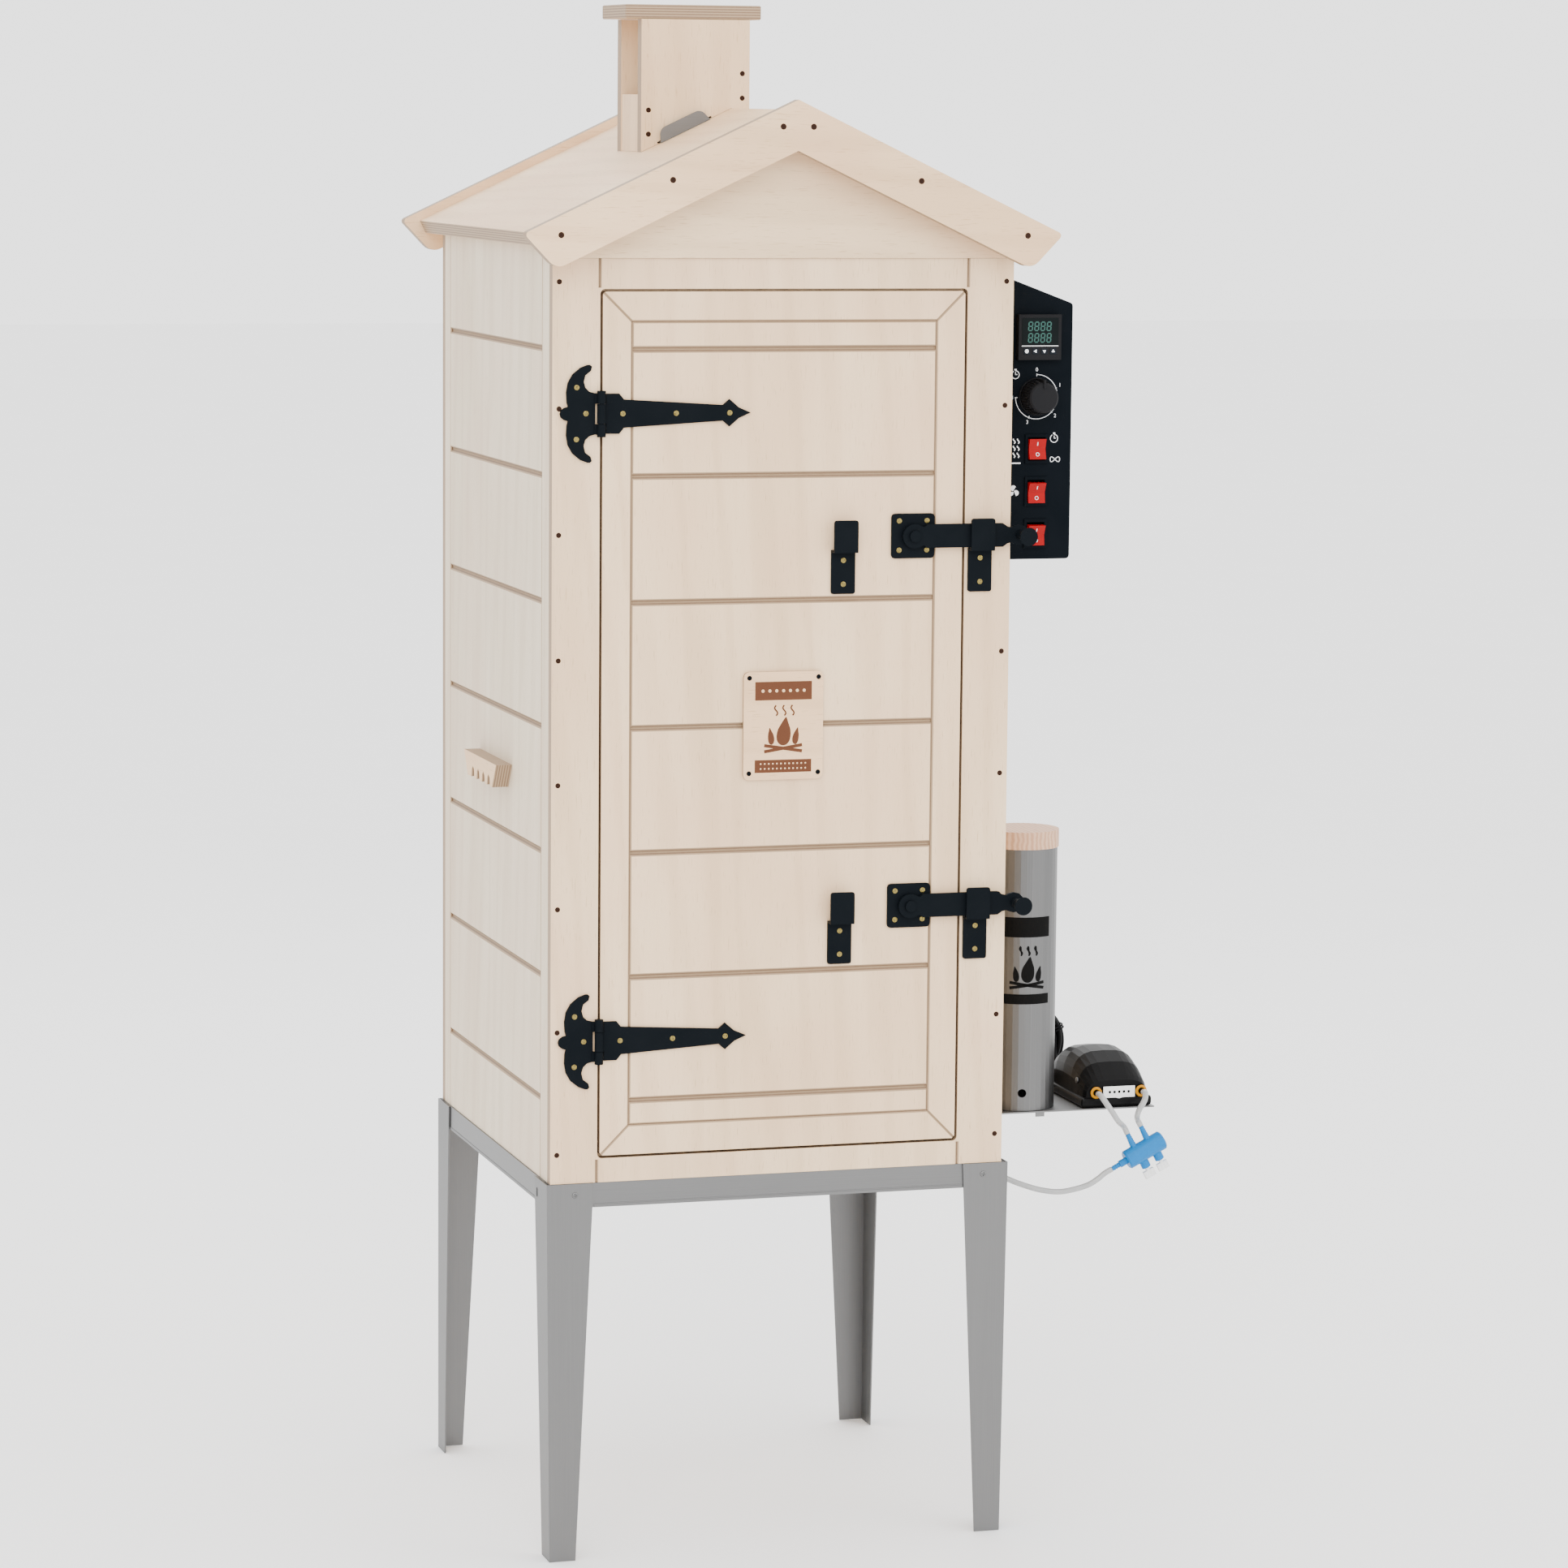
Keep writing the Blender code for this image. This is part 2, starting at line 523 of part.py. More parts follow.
def door():
    x0, x1, z0, z1 = DOOR
    panel = plate("door_panel", rect(x0, x1, z0, z1, 4), "XZ", 0, FRONT_T, PLY)
    u0, u1, v0, v1 = FRAME_LINES
    cut(panel, *[vee("door_line", (u0 + 0.6, 0, z), (u1 - 0.6, 0, z), (0, 1, 0), 3.6)
                 for z in BOARD_LINES],
        *[vee("door_rail", (u0 - 1.1, 0, z), (u1 + 1.1, 0, z), (0, 1, 0), 1.8) for z in (v0, v1)],
        *[vee("door_stile", (x, 0, v0 - 0.8), (x, 0, v1 + 0.8), (0, 1, 0), 1.7) for x in (u0, u1)],
        *[vee("mitre", (x * 1.1 - u * 0.1, 0, z * 1.1 - v * 0.1), (x * 0.03 + u * 0.97, 0,
                                                                   z * 0.03 + v * 0.97),
              (0, 1, 0), 1.4) for x, u in ((x0, u0), (x1, u1)) for z, v in ((z0, v0), (z1, v1))])
    plaque = plate("name_plaque", rect(206.5, 293.6, 422, 536, 6, 4), "XZ", -3.3, -0.3, PLY)
    on_door = [panel, plaque]
    for tag, z in zip(("upper", "lower"), HINGE_Z):
        on_door.append(hinge(tag, z))
    for tag, z in zip(("upper", "lower"), LATCH_Z):
        base, park = latch(tag, z)
        on_door += [base, park]
    hang_on("door_hinge", (HINGE_X, HINGE_Y, (z0 + z1) / 2), on_door)


# ---- fittings on and in the cabinet -------------------------------------------------------
def hook_rack():
    pts = [(169, 423.2), (187, 397.2)]
    for yc in (203, 227, 251, 275):
        pts += [(yc - 8, 397.2)] + [(yc + 8 * math.cos(math.radians(a)) * 0.85,
                                     398 + 11.5 * math.sin(math.radians(a)))
                                    for a in range(180, -1, -45)] + [(yc + 8, 397.2)]
    pts += [(299, 397.2), (316.7, 423.2)]
    ob = plate("hook_rack", pts, "YZ", -18, -0.3, PLY)
    return ob


def inside():
    a = [(486.8, 200, 60), (300, 200, 60), (150, 200, 60)]
    bend = [(150 - 51 * math.sin(math.radians(t)), 251 - 51 * math.cos(math.radians(t)), 60)
            for t in range(20, 170, 20)]
    ob = tube("heater_element", a + bend + [(150, 302, 60), (300, 302, 60), (486.8, 302, 60)], 4,
              ROD, step=0, res=2)
    mount = block("heater_flange", 483, 487.6, 185, 317, 45, 75, cutter=True)
    weld(ob, mount)
    rack = rod("hanging_rack", (250, 150, 842.6), "X", 474, 4, ROD, n=12)
    weld(rack, rod("rack_back", (250, 350, 842.6), "X", 474, 4, cutter=True, n=12),
         *[rod("rack_bar%d" % i, (x, 250, 842.6), "Y", 220, 3, cutter=True, n=10)
           for i, x in enumerate((90, 170, 250, 330, 410))])
    hang_on("rack_lift", (250, 250, 842.6), [rack])


def control_box():
    x0, x1, y0, y1, z0, zr, zl = BOX
    out = fillet([(x0, z0), (x1, z0), (x1, zr), (x0, zl)], (0, 4, 4, 0), 3)
    t = 1.5
    hollow = [(x0 - 1, z0 + t), (x1 - t, z0 + t), (x1 - t, zr - t), (x0 - 1, zl - t)]
    ob = plate("control_box", out, "XZ", y0, y1, BLACK)
    cut(ob, plate("box_hollow", hollow, "XZ", y0 + t, y1 - t, cutter=True))
    for i, z in enumerate(SWITCH_Z):
        bezel = block("bezel%d" % i, SWITCH_X - 12.8, SWITCH_X + 12.8, y0 - 2, y0 + 1,
                      z - 15.5, z + 15.5, cutter=True)
        house = block("housing%d" % i, SWITCH_X - 11.6, SWITCH_X + 11.6, y0 + 0.5, y0 + 15,
                      z - 14, z + 14, cutter=True)
        weld(ob, bezel, house)
        recess = block("recess%d" % i, SWITCH_X - 9.8, SWITCH_X + 9.8, y0 - 4, y0 + 13,
                       z - 12.3, z + 12.3, cutter=True)
        seat = rod("seat%d" % i, (SWITCH_X, y0 + 3, z), "X", 30, 1.9, cutter=True, n=10)
        cut(ob, recess, seat)
    timer = rod("timer_body", (DIAL_X, y0 + 10, DIAL_Z), "Y", 18, 17, cutter=True, n=20)
    bore = rod("timer_bore", (DIAL_X, y0 + 8, DIAL_Z), "Y", 30, 3.5, cutter=True, n=12)
    gland = rod("cable_gland", (545, y1 + 4, z0 + 28), "Y", 12, 9, cutter=True, n=16)
    hole = rod("cable_hole", (545, y1 + 4, z0 + 28), "Y", 20, 4, cutter=True, n=12)
    cut(weld(ob, timer, gland), bore, hole)
    zc = 882.5
    cut(ob, block("controller_cutout", 517.8, 563.2, y0 - 3, y0 + 3, zc - 22.7, zc + 22.7,
                  cutter=True))
    unit = block("temperature_controller", 516.5, 564.5, y0 - 9, y0 - GAP, zc - 24, zc + 24, PLASTIC)
    weld(unit, block("controller_can", 518.2, 562.8, y0 - 1, y0 + 60, zc - 22.3, zc + 22.3,
                     cutter=True))
    knob = rod("timer_knob", (DIAL_X, y0 - 13.4, DIAL_Z), "Y", 25.2, 16, PLASTIC, r2=18.4, n=28)
    soften(knob, 1.5, 1)
    weld(knob, rod("timer_shaft", (DIAL_X, y0 + 3, DIAL_Z), "Y", 22, 3, cutter=True, n=12),
         block("pointer", DIAL_X - 1.2, DIAL_X + 1.2, y0 - 27.4, y0 - 3, DIAL_Z + 10,
               DIAL_Z + 19.5, cutter=True))
    hang_on("timer_axis", (DIAL_X, y0, DIAL_Z), [knob])
    for i, z in enumerate(SWITCH_Z):
        rocker("rocker_%d" % (i + 1), z, 0 if i == 0 else 10)


def rocker(name, zc, tilt):
    """The tilt is the rest position about the pivot, the top edge standing out."""
    py = BOX[2] + 3
    shape = [(-9.6, 10.8), (-6.4, 0), (-9.6, -10.8), (-2, -10.2), (4.5, -5), (4.5, 5), (-2, 10.2)]
    c, s = math.cos(math.radians(tilt)), math.sin(math.radians(tilt))
    pts = [(py + y * c - z * s, zc + y * s + z * c) for y, z in shape]
    ob = plate(name, pts, "YZ", SWITCH_X - 9.3, SWITCH_X + 9.3, RED)
    weld(ob, rod(name + "_stub", (SWITCH_X, py, zc), "X", 21.6, 1.4, cutter=True, n=10))
    hang_on(name + "_pivot", (SWITCH_X, py, zc), [ob])


# ---- smoke generator, air pump and hoses --------------------------------------------------
def generator():
    x0, x1, y0, y1 = SHELF
    notch = (545.0, 235.0)               # the air hose comes up through this corner
    shelf = plate("generator_shelf", [(x0, y0), (x1, y0), (x1, y1), (notch[0], y1), notch,
                                      (x0, notch[1])], "XY", SHELF_Z - SHEET, SHELF_Z, STEEL)
    weld(shelf,
         block("wall_flange", x0, x0 + SHEET, y0, notch[1], 4, SHELF_Z - 0.5, cutter=True),
         block("rear_lip", notch[0], x1, y1 - SHEET, y1, SHELF_Z - 1, SHELF_Z + 12, cutter=True),
         block("front_tab", 573.5, 583.5, y0, y0 + SHEET, 27, SHELF_Z - 0.5, cutter=True))
    top = 322.0
    z0 = SHELF_Z + 0.4
    body = rod("generator_body", (GEN_X, GEN_Y, (top + z0) / 2), "Z", top - z0, GEN_R, STEEL, n=36)
    pipe = rod("smoke_pipe", (506, GEN_Y, 285), "X", 50, 10, cutter=True, n=24)
    d = math.sqrt(0.5)
    nozzle = rod("air_nozzle", (GEN_X - d * 44, GEN_Y + d * 44, 75), "Z", 16, 3.6, cutter=True,
                 n=12, rot=(math.pi / 2, 0, math.pi / 4))
    hollow = rod("generator_hollow", (GEN_X, GEN_Y, (top + z0) / 2 + 2), "Z", top - z0, GEN_R - 1.5,
                 cutter=True, n=36)
    weld(body, pipe, nozzle)
    cut(body, hollow,
        rod("pipe_bore", (510, GEN_Y, 285), "X", 74, 8.4, cutter=True, n=24),
        rod("light_hole", (GEN_X - 8.8, 105, 53.1), "Y", 20, 4.7, cutter=True, n=16),
        rod("nozzle_bore", (GEN_X - d * 44, GEN_Y + d * 44, 75), "Z", 26, 1.6, cutter=True, n=10,
            rot=(math.pi / 2, 0, math.pi / 4)))
    lid = rod("generator_lid", (GEN_X, GEN_Y, top + GAP + 9.6), "Z", 19.2, 40.6, LIDWOOD, n=36)
    weld(lid, rod("lid_plug", (GEN_X, GEN_Y, top - 3), "Z", 9, 36.6, cutter=True, n=32))
    hang_on("lid_lift", (GEN_X, GEN_Y, top), [lid])


def dome(name, sections, n=14):
    """A closed body lofted through superellipse sections with a flat base."""
    bm = bmesh.new()
    rings = []
    for y, w, z0, z1, cx in sections:
        ring = []
        for k in range(n + 1):
            t = math.pi * k / n
            c, s = math.cos(t), math.sin(t)
            x = cx + w * math.copysign(abs(c) ** 0.62, c)
            ring.append(bm.verts.new(world(x, y, z0 + (z1 - z0) * abs(s) ** 0.62)
                                     - world(cx, 160, 60)))
        rings.append(ring)
    for a, b in zip(rings, rings[1:]):
        for k in range(n):
            bm.faces.new((a[k], a[k + 1], b[k + 1], b[k]))
        bm.faces.new((a[n], a[0], b[0], b[n]))
    bm.faces.new(rings[0][::-1])
    bm.faces.new(rings[-1])
    bmesh.ops.recalc_face_normals(bm, faces=bm.faces)
    me = bpy.data.meshes.new(name)
    bm.to_mesh(me)
    bm.free()
    return add(name, me, world(sections[0][4], 160, 60), cutter=True)


OUTLETS = (644.5, 697.2)
LEAD_EXIT = (652.7, 236.0, 52.0)


def pump():
    x0, x1, y0, y1 = PUMP
    base = block("air_pump", x0, x1, y0, y1, SHELF_Z + 0.4, SHELF_Z + 11.4, PLASTIC)
    soften(base, 3, 2)
    cx = (x0 + x1) / 2
    hood = dome("pump_hood", [(y0 + 3, 35, 43, 63, cx), (y0 + 9, 37, 43, 68, cx),
                              (y0 + 24, 38, 43, 80, cx), (y0 + 45, 38.5, 43, 89, cx),
                              (y0 + 72, 38.5, 43, 91, cx), (y0 + 98, 38, 43, 87, cx),
                              (y0 + 112, 37, 43, 79, cx), (y0 + 117, 35, 43, 70, cx)])
    weld(base, hood,
         *[rod("outlet%d" % i, (x, y0 - 1, 50), "Y", 10, 2.6, cutter=True, n=12)
           for i, x in enumerate(OUTLETS)],
         rod("strain_relief", (LEAD_EXIT[0], 225, LEAD_EXIT[2]), "Y", 22, 4.6, cutter=True, r2=2.9,
             n=12))


MANIFOLD = Vector((698.3, 90, -14.5))
TILT = math.radians(27.4)
ALONG = Vector((math.cos(TILT), 0, math.sin(TILT)))
ABOVE = Vector((-math.sin(TILT), 0, math.cos(TILT)))
INLETS, VALVES = (-9.3, 8.1), (-6.3, 11.1)
NIPPLE_END = -42.5


def at_manifold(u, v):
    return MANIFOLD + ALONG * u + ABOVE * v


def manifold():
    lengthwise = (0, math.pi / 2 - TILT, 0)
    across = (0, -TILT, 0)
    ob = rod("air_manifold", at_manifold(0, 0), "Z", 47.5, 10.8, BLUE, n=24, rot=lengthwise)
    soften(ob, 1.5, 1)
    weld(ob, rod("end_boss", at_manifold(-27.5, 0), "Z", 10, 4, cutter=True, n=14, rot=lengthwise),
         rod("end_nipple", at_manifold(NIPPLE_END + 7, 0), "Z", 14, 2.5, cutter=True, n=12,
             rot=lengthwise),
         *[rod("inlet%d" % i, at_manifold(u, 17.5), "Z", 17.4, 3.8, cutter=True, r2=2.6, n=12,
               rot=across) for i, u in enumerate(INLETS)],
         *[rod("boss%d" % i, at_manifold(u, -12.5), "Z", 11, 5.3, cutter=True, n=16, rot=across)
           for i, u in enumerate(VALVES)])
    for i, u in enumerate(VALVES):
        knob = rod("valve_knob_%d" % (i + 1), at_manifold(u, -20.8), "Z", 5, 2.4, WHITE, n=14,
                   rot=across)
        c = at_manifold(u, -26.4)
        weld(knob, block("wing%d" % i, c.x - 6.4, c.x + 6.4, c.y - 2.2, c.y + 2.2, c.z - 4.2,
                         c.z + 4.2, cutter=True, rot=across))
        hang_on("valve_axis_%d" % (i + 1), at_manifold(u, -18.3), [knob])


def above_inlet(i, h):
    """A point h above the tip of a manifold inlet, in line with it."""
    return tuple(at_manifold(INLETS[i], 26.2 + h))


def hoses():
    """Two hoses from the pump to the manifold, and one on to the back of the generator."""
    tube("hose_1", [(OUTLETS[0], 93.5, 50), (OUTLETS[0], 87, 49.8), (648, 81, 43.5),
                    (656, 80, 32), (664.5, 83, 20.5), above_inlet(0, 9), above_inlet(0, 0.3)],
         HOSE_R, CLEAR, step=7)
    tube("hose_2", [(OUTLETS[1], 93.5, 50), (OUTLETS[1], 87, 49.8), (694, 81, 43),
                    (688.4, 80.5, 34), (687, 84, 26), above_inlet(1, 8), above_inlet(1, 0.3)],
         HOSE_R, CLEAR, step=7)
    start = at_manifold(NIPPLE_END - 0.5, 0)
    d = math.sqrt(0.5)
    tip = (GEN_X - d * 52.8, GEN_Y + d * 52.8, 75)
    tube("hose_3", [tuple(start), tuple(start - ALONG * 9), (644, 90, -44.5), (630, 90, -51.5),
                    (603, 90, -56.4), (580, 91, -54), (557, 94, -47), (538, 101, -39),
                    (526, 118, -32), (521, 145, -28), (520, 180, -25), (521, 215, -21),
                    (523, 243, -12), (524, 258, 6), (524, 260, 28), (523, 252, 52),
                    (521, 232, 69), (520, 208, 76), (tip[0] - 6, tip[1] + 6, 75.5), tip],
         HOSE_R, CLEAR, step=9)


def lead():
    """The pump's mains lead: a short run into its tied coil, and the plug beside the coil."""
    x, y, z = LEAD_EXIT
    bend = 20.0
    arc = [(x, y + 5 + bend * math.sin(math.radians(t)), z + bend * (1 - math.cos(math.radians(t))))
           for t in (16, 32, 47.5)]
    tube("pump_lead", [(x, y + 0.3, z), (x, y + 2.6, z), (x, y + 5, z)] + arc, LEAD_R, PLASTIC,
         step=5, res=2)
    h = COIL_T / 2
    turned("pump_lead_coil", [(COIL_OUT, h - 3), (COIL_OUT, 3 - h), (COIL_OUT - 3, -h),
                              (COIL_IN + 3, -h), (COIL_IN, 3 - h), (COIL_IN, h - 3),
                              (COIL_IN + 3, h), (COIL_OUT - 3, h)], COIL, PLASTIC,
           (math.pi / 2, 0, 0))
    floor, axis = SHELF_Z + 0.4, SHELF_Z + 6.9
    plug = block("pump_plug", 658, 682, 254, 279, floor, floor + 13, PLASTIC)
    soften(plug, 2, 2)
    weld(plug, rod("plug_relief", (653.5, 266.5, axis), "X", 11, 2.7, cutter=True, r2=4, n=12),
         *[rod("plug_pin%d" % i, (690, y, axis), "X", 20, 2, cutter=True, n=10)
           for i, y in enumerate((257.5, 275.5))])


body_panels()
roof()
chimney()
damper()
stand()
door()
hook_rack()
inside()
control_box()
generator()
pump()
manifold()
hoses()
lead()
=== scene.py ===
"""The looks of the electric cabinet smoker: materials, fastenings, dial, labels, hoses and lead on
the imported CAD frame. Lengths are millimetres in the cabinet's own axes, as in the part's source:
X from the left edge of the front, Y back from the front face, Z up from the body's underside."""
import math
import bmesh
import bpy
from mathutils import Matrix, Vector


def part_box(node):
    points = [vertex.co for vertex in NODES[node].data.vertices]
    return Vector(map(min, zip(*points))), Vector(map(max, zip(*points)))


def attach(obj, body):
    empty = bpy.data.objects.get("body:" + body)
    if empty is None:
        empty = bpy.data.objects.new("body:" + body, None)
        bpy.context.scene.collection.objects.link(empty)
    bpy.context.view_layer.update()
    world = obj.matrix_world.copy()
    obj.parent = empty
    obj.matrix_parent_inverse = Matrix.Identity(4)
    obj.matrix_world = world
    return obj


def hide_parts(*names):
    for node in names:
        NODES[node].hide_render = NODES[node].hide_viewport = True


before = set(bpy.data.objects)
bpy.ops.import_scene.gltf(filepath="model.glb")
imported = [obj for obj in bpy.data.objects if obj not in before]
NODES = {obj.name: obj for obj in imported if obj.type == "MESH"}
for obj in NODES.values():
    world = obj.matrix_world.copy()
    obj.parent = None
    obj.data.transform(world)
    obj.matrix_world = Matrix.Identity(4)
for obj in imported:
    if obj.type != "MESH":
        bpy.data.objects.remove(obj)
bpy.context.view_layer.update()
MM = 0.001
BODY_W = 500
RIDGE_Z = 1120
ORIGIN = Vector(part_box("front_frame")[0])


def P(x, y, z):
    """A point in the cabinet's own axes, in metres in the row frame."""
    return ORIGIN + Vector((x, y, z)) * MM


def mm_box(node):
    """A CAD node's lowest and highest corners in the cabinet's own axes."""
    lo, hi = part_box(node)
    return (Vector(lo) - ORIGIN) / MM, (Vector(hi) - ORIGIN) / MM


# ---- camera -------------------------------------------------------------------------------
YAW, PITCH, ROLL = (math.radians(a) for a in (16.85, 7.76, 0.52))
EYE = (-1336.3, -5281.3, 1129.5)
FOCAL = 3.3719                           # focal length in frame widths
SENSOR = 36                              # mm
SHIFT = (-0.0061, 0.0233)                # in frame widths


def camera():
    look = Vector((math.sin(YAW) * math.cos(PITCH), math.cos(YAW) * math.cos(PITCH),
                   -math.sin(PITCH)))
    right = Vector((math.cos(YAW), -math.sin(YAW), 0))
    up = right.cross(look)
    side = right * math.cos(ROLL) + up * math.sin(ROLL)
    top = up * math.cos(ROLL) - right * math.sin(ROLL)
    cam = bpy.data.cameras.new("camera")
    cam.sensor_width = SENSOR
    cam.lens = FOCAL * SENSOR
    cam.shift_x, cam.shift_y = SHIFT
    cam.clip_end = 100
    ob = bpy.data.objects.new("camera", cam)
    m = Matrix((side, top, -look)).transposed().to_4x4()
    m.translation = P(*EYE)
    ob.matrix_world = m
    bpy.context.scene.collection.objects.link(ob)
    bpy.context.scene.camera = ob


camera()


# ---- node helpers -------------------------------------------------------------------------
class Shader:
    """A small builder for one material's nodes."""

    def __init__(self, name, colour=(0.5, 0.5, 0.5), rough=0.5, metal=0.0, **sockets):
        self.mat = bpy.data.materials.new(name)
        self.mat.use_nodes = True
        self.tree = self.mat.node_tree
        self.bsdf = self.tree.nodes["Principled BSDF"]
        self.set("Base Color", (*colour, 1))
        self.set("Roughness", rough)
        self.set("Metallic", metal)
        for key, value in sockets.items():
            self.set(key.replace("_", " "), value)
        self.coords = self.add("ShaderNodeTexCoord")

    def set(self, socket, value):
        self.bsdf.inputs[socket].default_value = value

    def add(self, kind, attrs=(), **inputs):
        n = self.tree.nodes.new(kind)
        for key, value in dict(attrs).items():
            setattr(n, key, value)
        for key, value in inputs.items():
            self.feed(n.inputs[int(key[1:])] if key[0] == "i" and key[1:].isdigit()
                      else n.inputs[key.replace("_", " ")], value)
        return n

    def feed(self, socket, value):
        if isinstance(value, bpy.types.NodeSocket):
            self.tree.links.new(value, socket)
        else:
            socket.default_value = value

    def out(self, socket, value):
        self.feed(self.bsdf.inputs[socket], value)

    def math(self, op, a, b=0.0, c=0.0, clamp=False):
        return self.add("ShaderNodeMath", {"operation": op, "use_clamp": clamp},
                        i0=a, i1=b, i2=c).outputs[0]

    def dot(self, a, axis):
        return self.add("ShaderNodeVectorMath", {"operation": "DOT_PRODUCT"},
                        i0=a, i1=axis).outputs["Value"]

    def scaled(self, scale, offset=(0, 0, 0)):
        return self.add("ShaderNodeMapping", Vector=self.coords.outputs["Object"],
                        Location=offset, Scale=scale).outputs[0]

    def noise(self, scale, size=1.0, detail=3.0, rough=0.55, distortion=0.0, offset=(0, 0, 0)):
        return self.add("ShaderNodeTexNoise", Vector=self.scaled(scale, offset), Scale=size,
                        Detail=detail, Roughness=rough, Distortion=distortion).outputs["Fac"]

    def ramp(self, fac, *stops, interpolation="LINEAR"):
        n = self.add("ShaderNodeValToRGB", Fac=fac)
        n.color_ramp.interpolation = interpolation
        while len(n.color_ramp.elements) < len(stops):
            n.color_ramp.elements.new(0.5)
        for e, (at, c) in zip(n.color_ramp.elements, stops):
            e.position = at
            e.color = (c, c, c, 1) if isinstance(c, (int, float)) else (*c, 1)
        return n.outputs[0]

    def mix(self, fac, a, b, blend="MIX"):
        n = self.add("ShaderNodeMix", {"data_type": "RGBA", "blend_type": blend})
        self.feed(n.inputs[0], fac)
        self.feed(n.inputs[6], (*a, 1) if isinstance(a, tuple) and len(a) == 3 else a)
        self.feed(n.inputs[7], (*b, 1) if isinstance(b, tuple) and len(b) == 3 else b)
        return n.outputs[2]

    def bump(self, height, strength=0.3, distance=0.0005, under=None):
        n = self.add("ShaderNodeBump", Height=height, Strength=strength, Distance=distance)
        if under is not None:
            self.feed(n.inputs["Normal"], under)
        self.out("Normal", n.outputs[0])
        return n.outputs[0]


def stretched(axis, along, across):
    """Scales for a texture that is long along one axis (0, 1 or 2) and narrow across it."""
    return tuple(along if i == axis else across for i in range(3))


PLY = 1.4                                # thickness of one veneer


def plywood(name, thick, start, grain, tone=(1, 1, 1), seed=0.0):
    """Birch plywood. thick is the sheet's normal, start the coordinate of its face along it in
    metres, and grain the axis that the face grain runs along."""
    s = Shader(name, rough=0.62)
    pale = tuple(c * t for c, t in zip((0.80, 0.595, 0.375), tone))
    mid = tuple(c * t for c, t in zip((0.66, 0.455, 0.265), tone))
    deep = tuple(c * t for c, t in zip((0.40, 0.235, 0.115), tone))
    off = (seed, seed * 1.7, seed * 0.6)
    broad = s.noise(stretched(grain, 1.3, 6.0), 1.0, 3, 0.5, 1.2, off)
    wave = s.add("ShaderNodeTexWave", {"wave_type": "BANDS", "bands_direction": "DIAGONAL"},
                 Vector=s.scaled(stretched(grain, 0.8, 9.0), off), Scale=1.6, Distortion=9.0,
                 Detail=3.0, Detail_Scale=0.8, Detail_Roughness=0.6).outputs["Fac"]
    fine = s.noise(stretched(grain, 9.0, 260.0), 1.0, 4, 0.6, 0.3, off)
    fleck = s.noise(stretched(grain, 55.0, 900.0), 1.0, 2, 0.5, 0.0, off)
    face = s.mix(s.ramp(broad, (0.35, 0.0), (0.70, 0.75)), pale, mid)
    face = s.mix(s.math("MULTIPLY", s.ramp(wave, (0.5, 0.0), (0.98, 1.0)), 0.15), face, deep)
    face = s.mix(s.math("MULTIPLY", s.ramp(fine, (0.5, 0.0), (0.8, 1.0)), 0.25), face, mid)
    face = s.mix(s.math("MULTIPLY", s.ramp(fleck, (0.62, 0.0), (0.72, 1.0)), 0.5), face, deep)
    blot = s.noise((5, 5, 5), 1.0, 2, 0.5, 0.8, off)
    face = s.mix(s.math("MULTIPLY", s.ramp(blot, (0.40, 0.0), (0.75, 1.0)), 0.4), face,
                 tuple(c * t for c, t in zip((0.70, 0.43, 0.27), tone)))
    depth = s.math("SUBTRACT", s.dot(s.coords.outputs["Object"], thick), start)
    ply = s.math("FRACT", s.math("DIVIDE", s.math("ABSOLUTE", depth), 2 * PLY * MM))
    edge_grain = s.noise((300, 300, 300), 1.0, 3, 0.7, 0.0, off)
    layer = s.ramp(ply, (0.42, 0.0), (0.52, 1.0), (0.92, 1.0), (1.0, 0.0))
    edge = s.mix(layer, (0.36, 0.25, 0.15), (0.15, 0.085, 0.045))
    edge = s.mix(s.math("MULTIPLY", edge_grain, 0.5), edge, (0.33, 0.23, 0.14))
    facing = s.math("ABSOLUTE", s.dot(s.coords.outputs["Normal"], thick))
    on_face = s.math("GREATER_THAN", facing, 0.93)
    s.out("Base Color", s.mix(on_face, edge, face))
    s.out("Roughness", s.math("ADD", s.math("MULTIPLY", fine, 0.18), 0.5))
    s.bump(s.math("ADD", s.math("MULTIPLY", fine, 0.6), s.math("MULTIPLY", fleck, -0.5)), 0.22,
           0.0003)
    return s.mat


def steel(name, brush, tone=0.55, rough=0.36):
    s = Shader(name, (tone, tone, tone), rough, 1.0)
    streak = s.noise(stretched(brush, 6.0, 1400.0), 1.0, 4, 0.7)
    cloud = s.noise((7, 7, 7), 1.0, 2, 0.5, 0.5)
    shade = s.mix(s.ramp(streak, (0.3, 0.0), (0.7, 1.0)), (tone * 0.9,) * 3, (tone * 1.06,) * 3)
    s.out("Base Color", s.mix(s.math("MULTIPLY", cloud, 0.25), shade, (tone * 0.85,) * 3))
    s.out("Roughness", s.math("ADD", s.math("MULTIPLY", streak, 0.2), rough - 0.08))
    s.bump(streak, 0.12, 0.0002)
    return s.mat


def coated(name, colour, rough=0.5, grit=0.35, size=1500, sheen=0.0, specular=0.06):
    """Powder coat or moulded plastic with a fine texture."""
    s = Shader(name, colour, rough)
    grain = s.noise((size, size, size), 1.0, 2, 0.6)
    cloud = s.noise((25, 25, 25), 1.0, 2, 0.5, 0.4)
    lift = tuple(min(1, c * 1.25 + 0.004) for c in colour)
    s.out("Base Color", s.mix(s.math("MULTIPLY", cloud, 0.6), colour, lift))
    s.out("Roughness", s.math("ADD", s.math("MULTIPLY", cloud, 0.14), rough - 0.07))
    s.bump(grain, grit, 0.0002)
    s.set("Specular IOR Level", specular)
    if sheen:
        s.set("Coat Weight", sheen)
        s.set("Coat Roughness", 0.08)
    return s.mat


